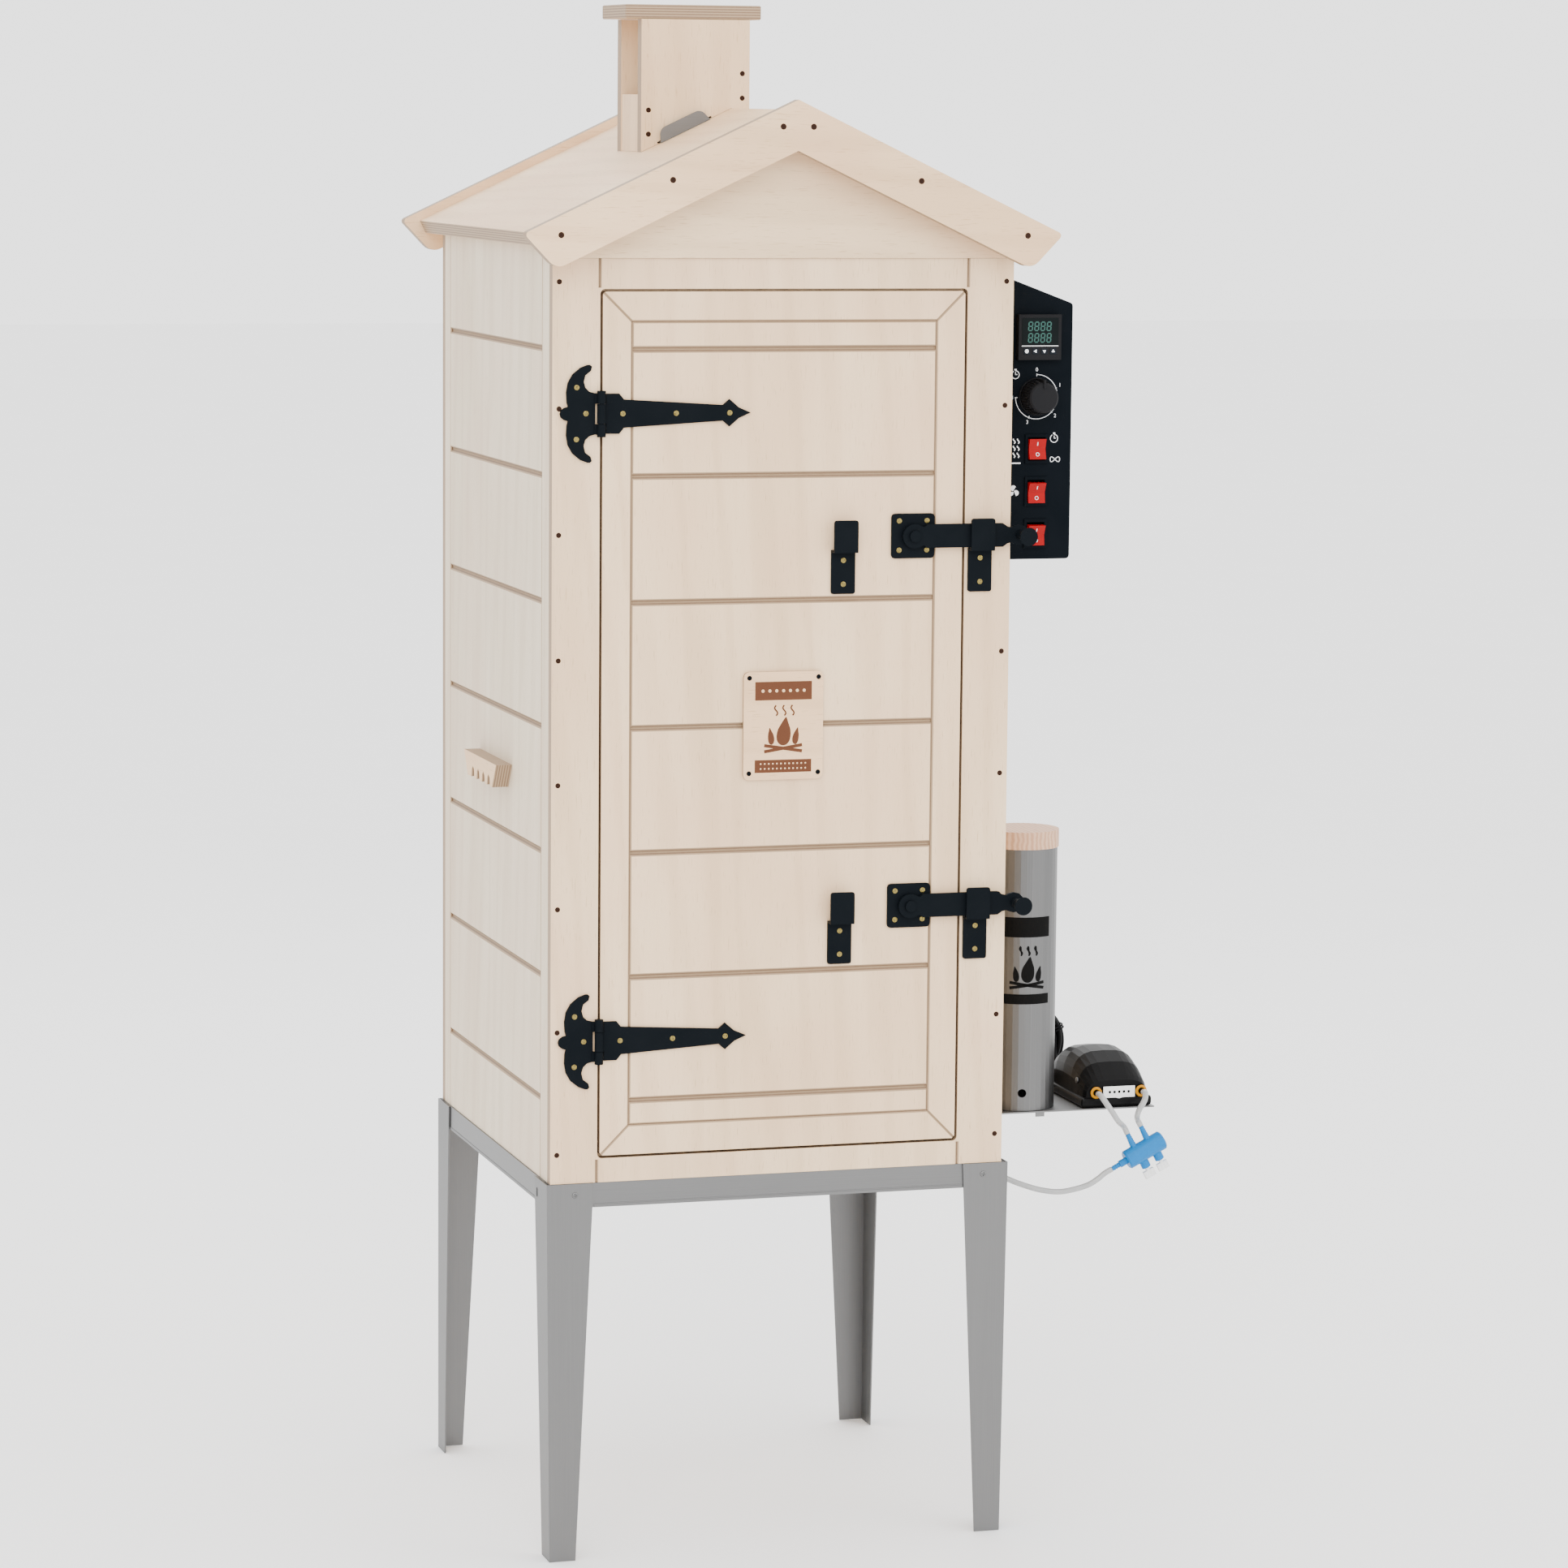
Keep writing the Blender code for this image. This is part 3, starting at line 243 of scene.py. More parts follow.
def brass(name="brass_screw"):
    s = Shader(name, (0.26, 0.20, 0.06), 0.34, 1.0)
    worn = s.noise((700, 700, 700), 1.0, 3, 0.6)
    s.out("Base Color", s.mix(s.ramp(worn, (0.4, 0.0), (0.7, 1.0)), (0.30, 0.235, 0.075),
                              (0.11, 0.08, 0.025)))
    s.out("Roughness", s.math("ADD", s.math("MULTIPLY", worn, 0.25), 0.2))
    return s.mat


def hose_clear():
    s = Shader("clear_hose", (0.40, 0.41, 0.41), 0.18, 0.0, Transmission_Weight=0.2, IOR=1.45)
    streak = s.noise((90, 90, 90), 1.0, 2, 0.5)
    s.out("Base Color", s.mix(streak, (0.33, 0.335, 0.335), (0.44, 0.445, 0.445)))
    s.out("Roughness", s.math("ADD", s.math("MULTIPLY", streak, 0.15), 0.12))
    s.set("Coat Weight", 0.5)
    return s.mat


def ramped(name, colour, rough):
    """A plain moulded colour with faint mottling."""
    s = Shader(name, colour, rough)
    n = s.noise((220, 220, 220), 1.0, 2, 0.5)
    darker = tuple(c * 0.82 for c in colour)
    s.out("Base Color", s.mix(n, darker, colour))
    s.bump(n, 0.08, 0.0002)
    s.set("Specular IOR Level", 0.12)
    return s.mat


def turned_wood():
    """Edge-glued pine, growth rings on the top and long grain round the side."""
    s = Shader("turned_pine", rough=0.55)
    rings = s.add("ShaderNodeTexWave", {"wave_type": "BANDS", "bands_direction": "X"},
                  Vector=s.scaled((60, 14, 60)), Scale=1.0, Distortion=5.0, Detail=3.0,
                  Detail_Scale=1.0).outputs["Fac"]
    fine = s.noise((900, 60, 900), 1.0, 3, 0.6)
    col = s.mix(s.ramp(rings, (0.1, 0.0), (0.9, 1.0)), (0.62, 0.39, 0.25), (0.46, 0.245, 0.135))
    col = s.mix(s.math("MULTIPLY", fine, 0.35), col, (0.45, 0.28, 0.18))
    s.out("Base Color", col)
    s.bump(fine, 0.2, 0.0003)
    return s.mat


X_AX, Y_AX, Z_AX = (1, 0, 0), (0, 1, 0), (0, 0, 1)
SLOPE = math.atan(0.4727)                # of the roof
LEFT_SLOPE = (-math.sin(SLOPE), 0, math.cos(SLOPE))
RIGHT_SLOPE = (math.sin(SLOPE), 0, math.cos(SLOPE))
BLACK = coated("black_powder_coat", (0.0022, 0.0036, 0.0052), 0.5, 0.5, 1300, specular=0.03)
PANEL = coated("black_panel", (0.0016, 0.0030, 0.0048), 0.55, 0.4, 1600, specular=0.025)
PUMP = coated("pump_housing", (0.0026, 0.0026, 0.0028), 0.36, 0.04, 900, specular=0.07)
MATT = coated("matt_black_plastic", (0.007, 0.007, 0.008), 0.45, 0.25, 1400)
LEAD = coated("lead_sheath", (0.006, 0.006, 0.0065), 0.4, 0.15, 900)
RED = ramped("red_rocker", (0.30, 0.0005, 0.0022), 0.25)
WHITE = ramped("white_plastic", (0.86, 0.86, 0.86), 0.4)
PRINT = ramped("white_print", (0.82, 0.84, 0.86), 0.5)
DARK_PRINT = coated("black_print", (0.003, 0.003, 0.003), 0.6, 0.1, 900, specular=0.04)
BURNT = coated("burnt_engraving", (0.095, 0.036, 0.018), 0.75, 0.6, 900)
BLUE = ramped("blue_plastic", (0.0, 0.16, 0.44), 0.3)
YELLOW = ramped("amber_ring", (0.50, 0.21, 0.004), 0.3)
DISPLAY = coated("display_glass", (0.0018, 0.0035, 0.0038), 0.3, 0.02, 900)
DIGIT = ramped("display_digit", (0.035, 0.10, 0.085), 0.4)
BRASS = brass()
DULL = coated("browned_screw", (0.022, 0.009, 0.005), 0.45, 0.2, 900)
STEEL_V = steel("stainless_upright", 2, 0.17, 0.46)
STEEL_X = steel("stainless_across", 0, 0.17, 0.46)
STEEL_Y = steel("stainless_deep", 1, 0.19, 0.46)
TUBE_STEEL = steel("stainless_tube", 2, 0.14, 0.40)
HOSE = hose_clear()


def smooth_group(degrees):
    """Shades faces smooth and keeps edges beyond the angle sharp."""
    g = bpy.data.node_groups.new("smooth_%d" % degrees, "GeometryNodeTree")
    g.interface.new_socket("Geometry", in_out="INPUT", socket_type="NodeSocketGeometry")
    g.interface.new_socket("Geometry", in_out="OUTPUT", socket_type="NodeSocketGeometry")
    start, end = g.nodes.new("NodeGroupInput"), g.nodes.new("NodeGroupOutput")
    faces, edges = (g.nodes.new("GeometryNodeSetShadeSmooth") for _ in range(2))
    faces.domain, edges.domain = "FACE", "EDGE"
    edges.inputs["Shade Smooth"].default_value = False
    angle = g.nodes.new("GeometryNodeInputMeshEdgeAngle")
    more = g.nodes.new("FunctionNodeCompare")
    more.data_type, more.operation = "FLOAT", "GREATER_THAN"
    more.inputs[1].default_value = math.radians(degrees)
    for a, b in ((start.outputs[0], faces.inputs["Geometry"]),
                 (faces.outputs[0], edges.inputs["Geometry"]),
                 (angle.outputs["Unsigned Angle"], more.inputs[0]),
                 (more.outputs[0], edges.inputs["Selection"]), (edges.outputs[0], end.inputs[0])):
        g.links.new(a, b)
    return g


SMOOTH, SOFT = smooth_group(33), smooth_group(62)


def finish_node(name, mat, bevel=0.0, segments=2, shade=SMOOTH):
    """A carried-over CAD node: its material, softened edges and smooth shading by angle."""
    ob = NODES[name]
    ob.data.materials.clear()
    ob.data.materials.append(mat)
    if bevel:
        mod = ob.modifiers.new("edges", "BEVEL")
        mod.width = bevel * MM
        mod.segments = segments
        mod.limit_method = "ANGLE"
        mod.angle_limit = math.radians(35)
    ob.modifiers.new("smooth", "NODES").node_group = shade
    return ob


def dress_wood():
    x, y, _ = ORIGIN
    boards = {
        "front_frame": (Y_AX, y, 2, (1, 1, 1), 1.3), "door_panel": (Y_AX, y, 2, (1.0, 0.985, 0.97), 4.1),
        "gable_front": (Y_AX, y, 0, (0.99, 1, 1), 7.7), "back_panel": (Y_AX, y, 2, (1, 1, 1), 9.2),
        # the left side panel's cool, greyer tone is painted shade: that side is coloured as if it were
        # less lit than the front
        "side_panel_left": (X_AX, x, 2, (0.86, 0.985, 1.17), 12.4),
        "side_panel_right": (X_AX, x, 2, (1, 1, 1), 15.0),
        "fascia_front": (Y_AX, y, 0, (1.0, 0.95, 0.90), 3.3),
        "fascia_back": (Y_AX, y, 0, (1.0, 0.95, 0.90), 5.3),
        "floor_board": (Z_AX, ORIGIN.z, 0, (1, 1, 1), 2.0),
        "chimney_front": (Y_AX, y, 2, (1, 0.98, 0.96), 21.0),
        "chimney_back": (Y_AX, y, 2, (1, 0.98, 0.96), 23.0),
        "chimney_side_left": (X_AX, x, 2, (1, 0.99, 0.97), 25.0),
        "chimney_side_right": (X_AX, x, 2, (1, 0.99, 0.97), 27.0),
        "chimney_cap": (Z_AX, mm_box("chimney_cap")[0].z * MM + ORIGIN.z, 0, (1, 0.98, 0.96), 29.0),
        "hook_rack": (X_AX, x, 1, (0.96, 0.88, 0.8), 31.0),
        "name_plaque": (Y_AX, y, 0, (1.0, 0.9, 0.82), 33.0)}
    for name, (axis, at, grain, tone, seed) in boards.items():
        mat = plywood("ply_" + name, axis, at, grain, tone, seed)
        finish_node(name, mat, 0.6 if name != "name_plaque" else 0.3)
    for name, axis, seed in (("roof_board_left", LEFT_SLOPE, 41.0),
                             ("roof_board_right", RIGHT_SLOPE, 43.0)):
        at = Vector(axis).dot(P(BODY_W / 2, 0, RIDGE_Z))
        finish_node(name, plywood("ply_" + name, axis, at, 1, (1.02, 1.0, 0.99), seed), 0.6)


def dress_metal():
    for tag in ("upper", "lower"):
        for name in ("hinge_leaf_", "hinge_strap_", "latch_plate_", "catch_", "park_hook_",
                     "latch_bar_"):
            finish_node(name + tag, BLACK, 0.35)
    for name in ("leg_front_left", "leg_front_right", "leg_back_left", "leg_back_right"):
        finish_node(name, STEEL_V, 0.3)
    for name in ("rail_front", "rail_back", "damper_plate"):
        finish_node(name, STEEL_X, 0.3)
    for name in ("rail_left", "rail_right", "generator_shelf"):
        finish_node(name, STEEL_Y, 0.3)
    finish_node("generator_body", TUBE_STEEL, 0.2)
    finish_node("control_box", PANEL, 0.7)
    finish_node("heater_element", STEEL_X)
    finish_node("hanging_rack", STEEL_X)


# ---- mesh helpers -------------------------------------------------------------------------
def link(ob, body, mat=None):
    bpy.context.scene.collection.objects.link(ob)
    if mat:
        ob.data.materials.append(mat)
    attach(ob, body)
    return ob


def from_bmesh(bm, name, body, mat, smooth=40):
    me = bpy.data.meshes.new(name)
    bm.to_mesh(me)
    bm.free()
    ob = bpy.data.objects.new(name, me)
    if smooth:
        me.shade_smooth()
        me.set_sharp_from_angle(angle=math.radians(smooth))
    return link(ob, body, mat)


def facing(at, outward, up=(0, 0, 1)):
    """A matrix whose Z points outward and whose Y points up, at a point."""
    z = Vector(outward).normalized()
    x = Vector(up).cross(z).normalized()
    m = Matrix((x, z.cross(x), z)).transposed().to_4x4()
    m.translation = at
    return m


FRONT = (0, -1, 0)


def revolve(bm, profile, at, outward, steps=32):
    """Turns (radius, height) points about the outward axis."""
    m = facing(at, outward)
    rings = []
    for r, h in profile:
        if r == 0:
            rings.append([bm.verts.new(m @ Vector((0, 0, h * MM)))])
            continue
        rings.append([bm.verts.new(m @ Vector((r * MM * math.cos(a), r * MM * math.sin(a), h * MM)))
                      for a in (2 * math.pi * k / steps for k in range(steps))])
    for p, q in zip(rings, rings[1:]):
        for k in range(steps):
            j = (k + 1) % steps
            quad = [p[k % len(p)], p[j % len(p)], q[j % len(q)], q[k % len(q)]]
            quad = list(dict.fromkeys(quad))
            if len(quad) > 2:
                bm.faces.new(quad)


def bar(bm, m, x0, x1, y0, y1, z0, z1):
    """A box in the local axes of matrix m, in millimetres."""
    made = bmesh.ops.create_cube(bm, size=1.0)["verts"]
    size = Vector((x1 - x0, y1 - y0, z1 - z0))
    mid = Vector((x0 + x1, y0 + y1, z0 + z1)) / 2
    for v in made:
        v.co = m @ ((Vector((v.co.x * size.x, v.co.y * size.y, v.co.z * size.z)) + mid) * MM)


def slab(bm, m, outline, z0, z1):
    """An outline in millimetres in the local XY of m, given thickness from z0 to z1."""
    low = [bm.verts.new(m @ (Vector((x, y, z0)) * MM)) for x, y in outline]
    high = [bm.verts.new(m @ (Vector((x, y, z1)) * MM)) for x, y in outline]
    bm.faces.new(low[::-1])
    bm.faces.new(high)
    for k in range(len(outline)):
        j = (k + 1) % len(outline)
        bm.faces.new((low[k], low[j], high[j], high[k]))


def arc(cx, cy, r, a0, a1, n=16):
    """Points on an arc, angles in degrees from +X."""
    return [(cx + r * math.cos(math.radians(a0 + (a1 - a0) * k / n)),
             cy + r * math.sin(math.radians(a0 + (a1 - a0) * k / n))) for k in range(n + 1)]


def ribbon(points, width):
    """The outline of a stroke of even width along the points."""
    left, right = [], []
    for i, p in enumerate(points):
        a, b = points[max(i - 1, 0)], points[min(i + 1, len(points) - 1)]
        d = Vector((b[0] - a[0], b[1] - a[1])).normalized()
        left.append((p[0] - d.y * width / 2, p[1] + d.x * width / 2))
        right.append((p[0] + d.y * width / 2, p[1] - d.x * width / 2))
    return left + right[::-1]


def screw_head(r, dome=0.5):
    """A countersunk head with a cross recess, its face towards +Z."""
    bm = bmesh.new()
    n, w, reach = 24, r * 0.16, r * 0.62

    def ring(rr, h):
        return [Vector((x, y, h)) for x, y in arc(0, 0, rr, 0, 360, n)[:-1]]

    def cross_shape(scale, h):
        a, b = w * scale, reach * scale
        pts = []
        for q in range(4):
            c, s = math.cos(q * math.pi / 2), math.sin(q * math.pi / 2)
            for x, y in ((b, -a), (b, a), (a, a)):
                pts.append(Vector((x * c - y * s, x * s + y * c, h)))
        return pts
    rim0, rim1 = ring(r, 0), ring(r * 0.93, dome * 0.6)
    inner = ring(r * 0.72, dome)
    layers = [[bm.verts.new(v) for v in lay] for lay in (rim0, rim1, inner)]
    for p, q in zip(layers, layers[1:]):
        for k in range(n):
            bm.faces.new((p[k], p[(k + 1) % n], q[(k + 1) % n], q[k]))
    top = [bm.verts.new(v) for v in cross_shape(1.0, dome)]
    bottom = [bm.verts.new(v) for v in cross_shape(0.75, dome * 0.2)]
    for k in range(12):
        bm.faces.new((top[k], bottom[k], bottom[(k + 1) % 12], top[(k + 1) % 12]))
    bm.faces.new(bottom)
    edges = [bm.edges.get((layers[2][k], layers[2][(k + 1) % n])) for k in range(n)]
    edges += [bm.edges.get((top[k], top[(k + 1) % 12])) for k in range(12)]
    bmesh.ops.triangle_fill(bm, edges=[e for e in edges if e], use_beauty=True)
    bmesh.ops.recalc_face_normals(bm, faces=bm.faces)
    bmesh.ops.transform(bm, matrix=Matrix.Scale(MM, 4), verts=bm.verts)
    me = bpy.data.meshes.new("screw_head")
    bm.to_mesh(me)
    bm.free()
    return me


def screws(name, body, mat, places, r=3.0, dome=0.5, outward=FRONT):
    """One object of screw heads at points in the cabinet's axes, each turned a little."""
    head = screw_head(r, dome)
    bm = bmesh.new()
    for i, at in enumerate(places):
        start = len(bm.verts)
        bm.from_mesh(head)
        bm.verts.ensure_lookup_table()
        m = facing(P(*at), outward) @ Matrix.Rotation(math.radians(17 + 61 * i), 4, "Z")
        for v in bm.verts[start:]:
            v.co = m @ v.co
    ob = from_bmesh(bm, name, body, mat, smooth=30)
    bpy.data.meshes.remove(head)
    return ob


# ---- fastenings ---------------------------------------------------------------------------
HINGE_Z = [(mm_box("hinge_strap_" + t)[0].z + mm_box("hinge_strap_" + t)[1].z) / 2
           for t in ("upper", "lower")]
LATCH_Z = [(mm_box("latch_plate_" + t)[0].z + mm_box("latch_plate_" + t)[1].z) / 2
           for t in ("upper", "lower")]


def fastenings():
    y = -2.8
    straps = [(x, y, z) for z in HINGE_Z for x in (74.5, 131.6, 189.2)]
    leaves = [(x, y, z + dz) for z in HINGE_Z for x, dz in ((25.3, 27.2), (35.1, 0.4), (25, -26.2))]
    plates = [(x, y, z + dz) for z in LATCH_Z for x in (375.6, 406.2) for dz in (16, -14.8)]
    parks = [(314.5, y, z + dz) for z in LATCH_Z for dz in (-24.5, -49.6)]
    catches = [(465.8, y, z + dz) for z in LATCH_Z for dz in (-24.2, -49.4)]
    screws("door_metal_screws", "door", BRASS, straps + plates + parks, 2.9)
    screws("frame_metal_screws", "cabinet", BRASS, leaves + catches, 2.9)
    lo, hi = mm_box("name_plaque")
    corners = [(x, lo.y, z) for x in (lo.x + 6.3, hi.x - 5.2) for z in (lo.z + 7, hi.z - 6.3)]
    screws("plaque_screws", "door", BLACK, corners, 2.6, 0.8)
    stiles = [(x, 0, 31 + 130.25 * k) for x in (7.2, 492) for k in range(8)]
    y_fascia = mm_box("fascia_front")[0].y
    barge = [(BODY_W / 2 + s * dx, y_fascia, z) for s in (-1, 1)
             for dx, z in ((251, 991.4), (133.5, 1047.5), (16.3, 1102.4))]
    y_chimney = mm_box("chimney_front")[0].y
    stack = [(x, y_chimney, z) for x, z in ((158, 1117.5), (158, 1092), (262, 1157), (262, 1131))]
    screws("wood_screws", "cabinet", DULL, stiles + stack, 2.8, 0.25)
    screws("barge_screws", "cabinet", DULL, barge, 3.2, 0.3)
    legs = [(26.9, -1.5, -12.5), (479.3, -1.5, -12.2)]
    screws("stand_screws", "cabinet", STEEL_V, legs, 3.4, 1.0)


def stand_details():
    """The hem along the rails' lower edge, and the slot in the front left leg drawn as a thin black patch
    of painted shade.
    """
    lo, hi = mm_box("rail_front")
    bm = bmesh.new()
    m = facing(P(0, lo.y, 0), FRONT)
    bar(bm, m, 48, 456, lo.z + 3.2, lo.z + 4.2, 0.0, 0.35)
    bar(bm, m, 48, 456, lo.z, lo.z + 3.0, 0.0, 0.5)
    lo, hi = mm_box("rail_left")
    m = facing(P(lo.x, 0, 0), (-1, 0, 0))
    bar(bm, m, -hi.y, -lo.y, lo.z, lo.z + 3.0, 0.0, 0.45)
    from_bmesh(bm, "rail_hems", "cabinet", STEEL_X)
    # the slot is a thin matt black patch on the leg's face: painted shade for its dark opening
    bm = bmesh.new()
    m = facing(P(-4.05, 40.5, -15.5), (-1, 0, 0))
    slab(bm, m, arc(0, 3.2, 1.8, 0, 180, 10) + arc(0, -3.2, 1.8, 180, 360, 10), -0.1, 0.12)
    from_bmesh(bm, "leg_slot_shade", "cabinet", MATT)


# ---- plaque and generator label -----------------------------------------------------------
def flame(cx, cy, w, h, lean=0.0):
    """A teardrop flame: a round foot and a tip that leans."""
    pts = []
    for k in range(40):
        t = 2 * math.pi * k / 40
        y = -math.cos(t)
        width = math.sin(t) * (1 - 0.55 * (y + 1) / 2) * (1 if y < 0.2 else 1 - (y - 0.2) * 0.5)
        pts.append((cx + w / 2 * width + lean * ((y + 1) / 2) ** 2, cy + h / 2 * y))
    return pts


def wisp(cx, cy, w, h, width):
    return ribbon([(cx + w * math.sin(k / 12 * 2 * math.pi), cy + h * (k / 12 - 0.5))
                   for k in range(13)], width)


def emblem_shapes(s=1.0):
    """A plain flame over two logs with three wisps of smoke, about 44 mm wide at s = 1."""
    shapes = [flame(0, -2 * s, 20 * s, 30 * s, 3 * s)]
    shapes += [flame(-13 * s, -7 * s, 9 * s, 18 * s, -2 * s), flame(13 * s, -7 * s, 9 * s, 18 * s, 3 * s)]
    shapes += [wisp(x * s, 20 * s, 1.6 * s, 11 * s, 1.7 * s) for x in (-8, 1, 10)]
    for lean in (-1, 1):
        c, d = math.cos(math.radians(9 * lean)), math.sin(math.radians(9 * lean))
        box = [(-21, -1.7), (21, -1.7), (21, 1.7), (-21, 1.7)]
        shapes.append([((x * c - y * d) * s, (x * d + y * c - 20) * s) for x, y in box])
    return shapes


def plaque_art():
    lo, hi = mm_box("name_plaque")
    cx, face = (lo.x + hi.x) / 2, lo.y
    bm = bmesh.new()
    m = facing(P(cx, face, 0), FRONT)
    for z0, z1 in ((hi.z - 30, hi.z - 10.5), (lo.z + 7.5, lo.z + 21)):
        for half in (-1, 1):
            slab(bm, m, [(x * half, y) for x, y in ((0, z0), (31, z0), (31, z1), (0, z1))][::half],
                 -0.1, 0.08)
    from_bmesh(bm, "plaque_bands", "door", BURNT, 0)
    bm = bmesh.new()
    for k in range(7):
        slab(bm, m, arc(-22.5 + 7.5 * k, hi.z - 20.2, 1.7, 0, 342, 18), 0.02, 0.14)
    for row in (0, 1):
        for k in range(12):
            slab(bm, m, arc(-24.5 + 4.45 * k, lo.z + 11.7 + 5.2 * row, 0.9, 0, 330, 11), 0.02, 0.14)
    from_bmesh(bm, "plaque_dots", "door",
               plywood("plaque_face", Y_AX, ORIGIN.y, 0, (1.0, 0.9, 0.82), 33.0), 0)
    bm = bmesh.new()
    m = facing(P(cx, face, (lo.z + hi.z) / 2 - 4), FRONT)
    for i, shape in enumerate(emblem_shapes(1.0)):
        slab(bm, m, shape, -0.1, 0.06 + 0.004 * i)
    from_bmesh(bm, "plaque_emblem", "door", BURNT, 0)


def wrapped(bm, cx, cy, r, turn, shape, lift=0.3):
    """A flat shape (mm round the surface, height) wrapped on an upright tube as thin strips."""
    flat = bmesh.new()
    face = flat.faces.new([flat.verts.new((u, 0, z)) for u, z in shape])
    bmesh.ops.triangulate(flat, faces=[face], ngon_method="EAR_CLIP")
    lo, hi = min(u for u, _ in shape), max(u for u, _ in shape)
    for k in range(1, int((hi - lo) / 2.5) + 1):
        bmesh.ops.bisect_plane(flat, geom=flat.verts[:] + flat.edges[:] + flat.faces[:],
                               plane_co=(lo + 2.5 * k, 0, 0), plane_no=(1, 0, 0))
    made = {}
    for v in flat.verts:
        a = turn + v.co.x / r
        made[v] = bm.verts.new(P(cx + (r + lift) * math.cos(a), cy + (r + lift) * math.sin(a),
                                 v.co.z))
    for f in flat.faces:
        bm.faces.new([made[v] for v in f.verts])
    flat.free()


def generator_details():
    lo, hi = mm_box("generator_lid")
    cx, cy, r = (lo.x + hi.x) / 2, (lo.y + hi.y) / 2, (hi.x - lo.x) / 2 - 1.3
    turn = math.radians(-97)
    bm = bmesh.new()
    for z0, z1 in ((226, 248), (152, 163)):
        wrapped(bm, cx, cy, r, turn, [(-27, z0), (27, z0), (27, z1), (-27, z1)])
    for shape in emblem_shapes(0.95):
        wrapped(bm, cx, cy, r, turn, [(x, z + 192) for x, z in shape])
    from_bmesh(bm, "generator_label", "cabinet", DARK_PRINT, 30)
    bm = bmesh.new()
    wrapped(bm, cx, cy, r, math.radians(-90.5), [(-0.35, 34), (0.35, 34), (0.35, 320), (-0.35, 320)],
            0.1)
    from_bmesh(bm, "generator_seam", "cabinet", STEEL_X, 0)
    finish_node("generator_lid", turned_wood(), 1.4, 3)


# ---- control panel ------------------------------------------------------------------------
BOX_Y = mm_box("control_box")[0].y + 2.0
DIAL = (540.5, 819.0)
SWITCH_Z = (763.6, 718.4, 673.2)


def text(name, letters, at, size, mat):
    """Raised lettering facing the front, centred on a point."""
    cu = bpy.data.curves.new(name, "FONT")
    cu.body = letters
    cu.size = size * MM
    cu.align_x = cu.align_y = "CENTER"
    cu.extrude = 0.08 * MM
    tmp = bpy.data.objects.new(name + "_tmp", cu)
    bpy.context.scene.collection.objects.link(tmp)
    tmp.matrix_world = facing(P(*at), FRONT)
    bpy.context.view_layer.update()
    me = bpy.data.meshes.new_from_object(tmp.evaluated_get(bpy.context.evaluated_depsgraph_get()))
    me.transform(tmp.matrix_world)
    bpy.data.objects.remove(tmp, do_unlink=True)
    me.materials.clear()
    return link(bpy.data.objects.new(name, me), "cabinet", mat)


def clock_icon(shapes, x, z, r):
    ring = arc(0, 0, r, 90 - 330, 90, 28)
    shapes.append([(x + a, z + b) for a, b in ribbon(ring, 0.75)])
    shapes.append([(x + a, z + b) for a, b in ribbon([(0, 0), (0, r * 0.7)], 0.7)])
    shapes.append([(x + a, z + b) for a, b in ribbon([(0, 0), (r * 0.5, r * 0.1)], 0.7)])
    shapes.append([(x + a, z + b) for a, b in ((-1.2, r + 0.4), (1.2, r + 0.4), (1.2, r + 2.0),
                                              (-1.2, r + 2.0))])


def panel_print():
    """The dial's arc and marks, and the small symbols beside the switches."""
    x, z = DIAL
    shapes = []
    track = arc(x, z, 23.6, 90, 90 - 268, 46)
    shapes += [ribbon([p, q], 0.65) for p, q in zip(track, track[1:])]
    for k in range(5):
        a = math.radians(90 - 67 * k)
        c, s = math.cos(a), math.sin(a)
        shapes.append(ribbon([(x + 21.6 * c, z + 21.6 * s), (x + 24.6 * c, z + 24.6 * s)], 0.65))
    clock_icon(shapes, 561.0, 774.6, 4.2)
    clock_icon(shapes, 516.5, 842.5, 4.2)
    loops = [(562.3 + 5.4 * math.sin(t), 752.3 + 2.6 * math.sin(2 * t))
             for t in (2 * math.pi * k / 40 for k in range(41))]
    shapes += [ribbon([loops[k], loops[k + 1]], 0.75) for k in range(40)]
    for row in (757, 764.5, 772):
        for k in range(3):
            shapes.append(ribbon([(511.5 + 4.6 * k + 1.2 * math.sin(j * 1.3), row - 2.6 + j * 1.3)
                                  for j in range(5)], 1.2))
    shapes.append(ribbon([(509, 748.5), (523.5, 748.5)], 1.4))
    for k in range(3):
        a = math.radians(90 + 120 * k)
        blade = arc(516 + 3.4 * math.cos(a), 718.5 + 3.4 * math.sin(a), 3.1, math.degrees(a) - 60,
                    math.degrees(a) + 170, 12)
        shapes.append(blade)
    bm = bmesh.new()
    m = facing(P(0, BOX_Y, 0), FRONT)
    for shape in shapes:
        slab(bm, m, shape, -0.05, 0.12)
    bmesh.ops.recalc_face_normals(bm, faces=bm.faces)
    from_bmesh(bm, "panel_marks", "cabinet", PRINT, 0)
    for digit, (dx, dz) in zip("01234", ((0, 28.7), (26.1, 12.2), (21.1, -20.3), (-10, -27),
                                         (-27.6, -0.9))):
        text("dial_" + digit, digit, (x + dx, BOX_Y - 0.05, z + dz), 5.6, PRINT)


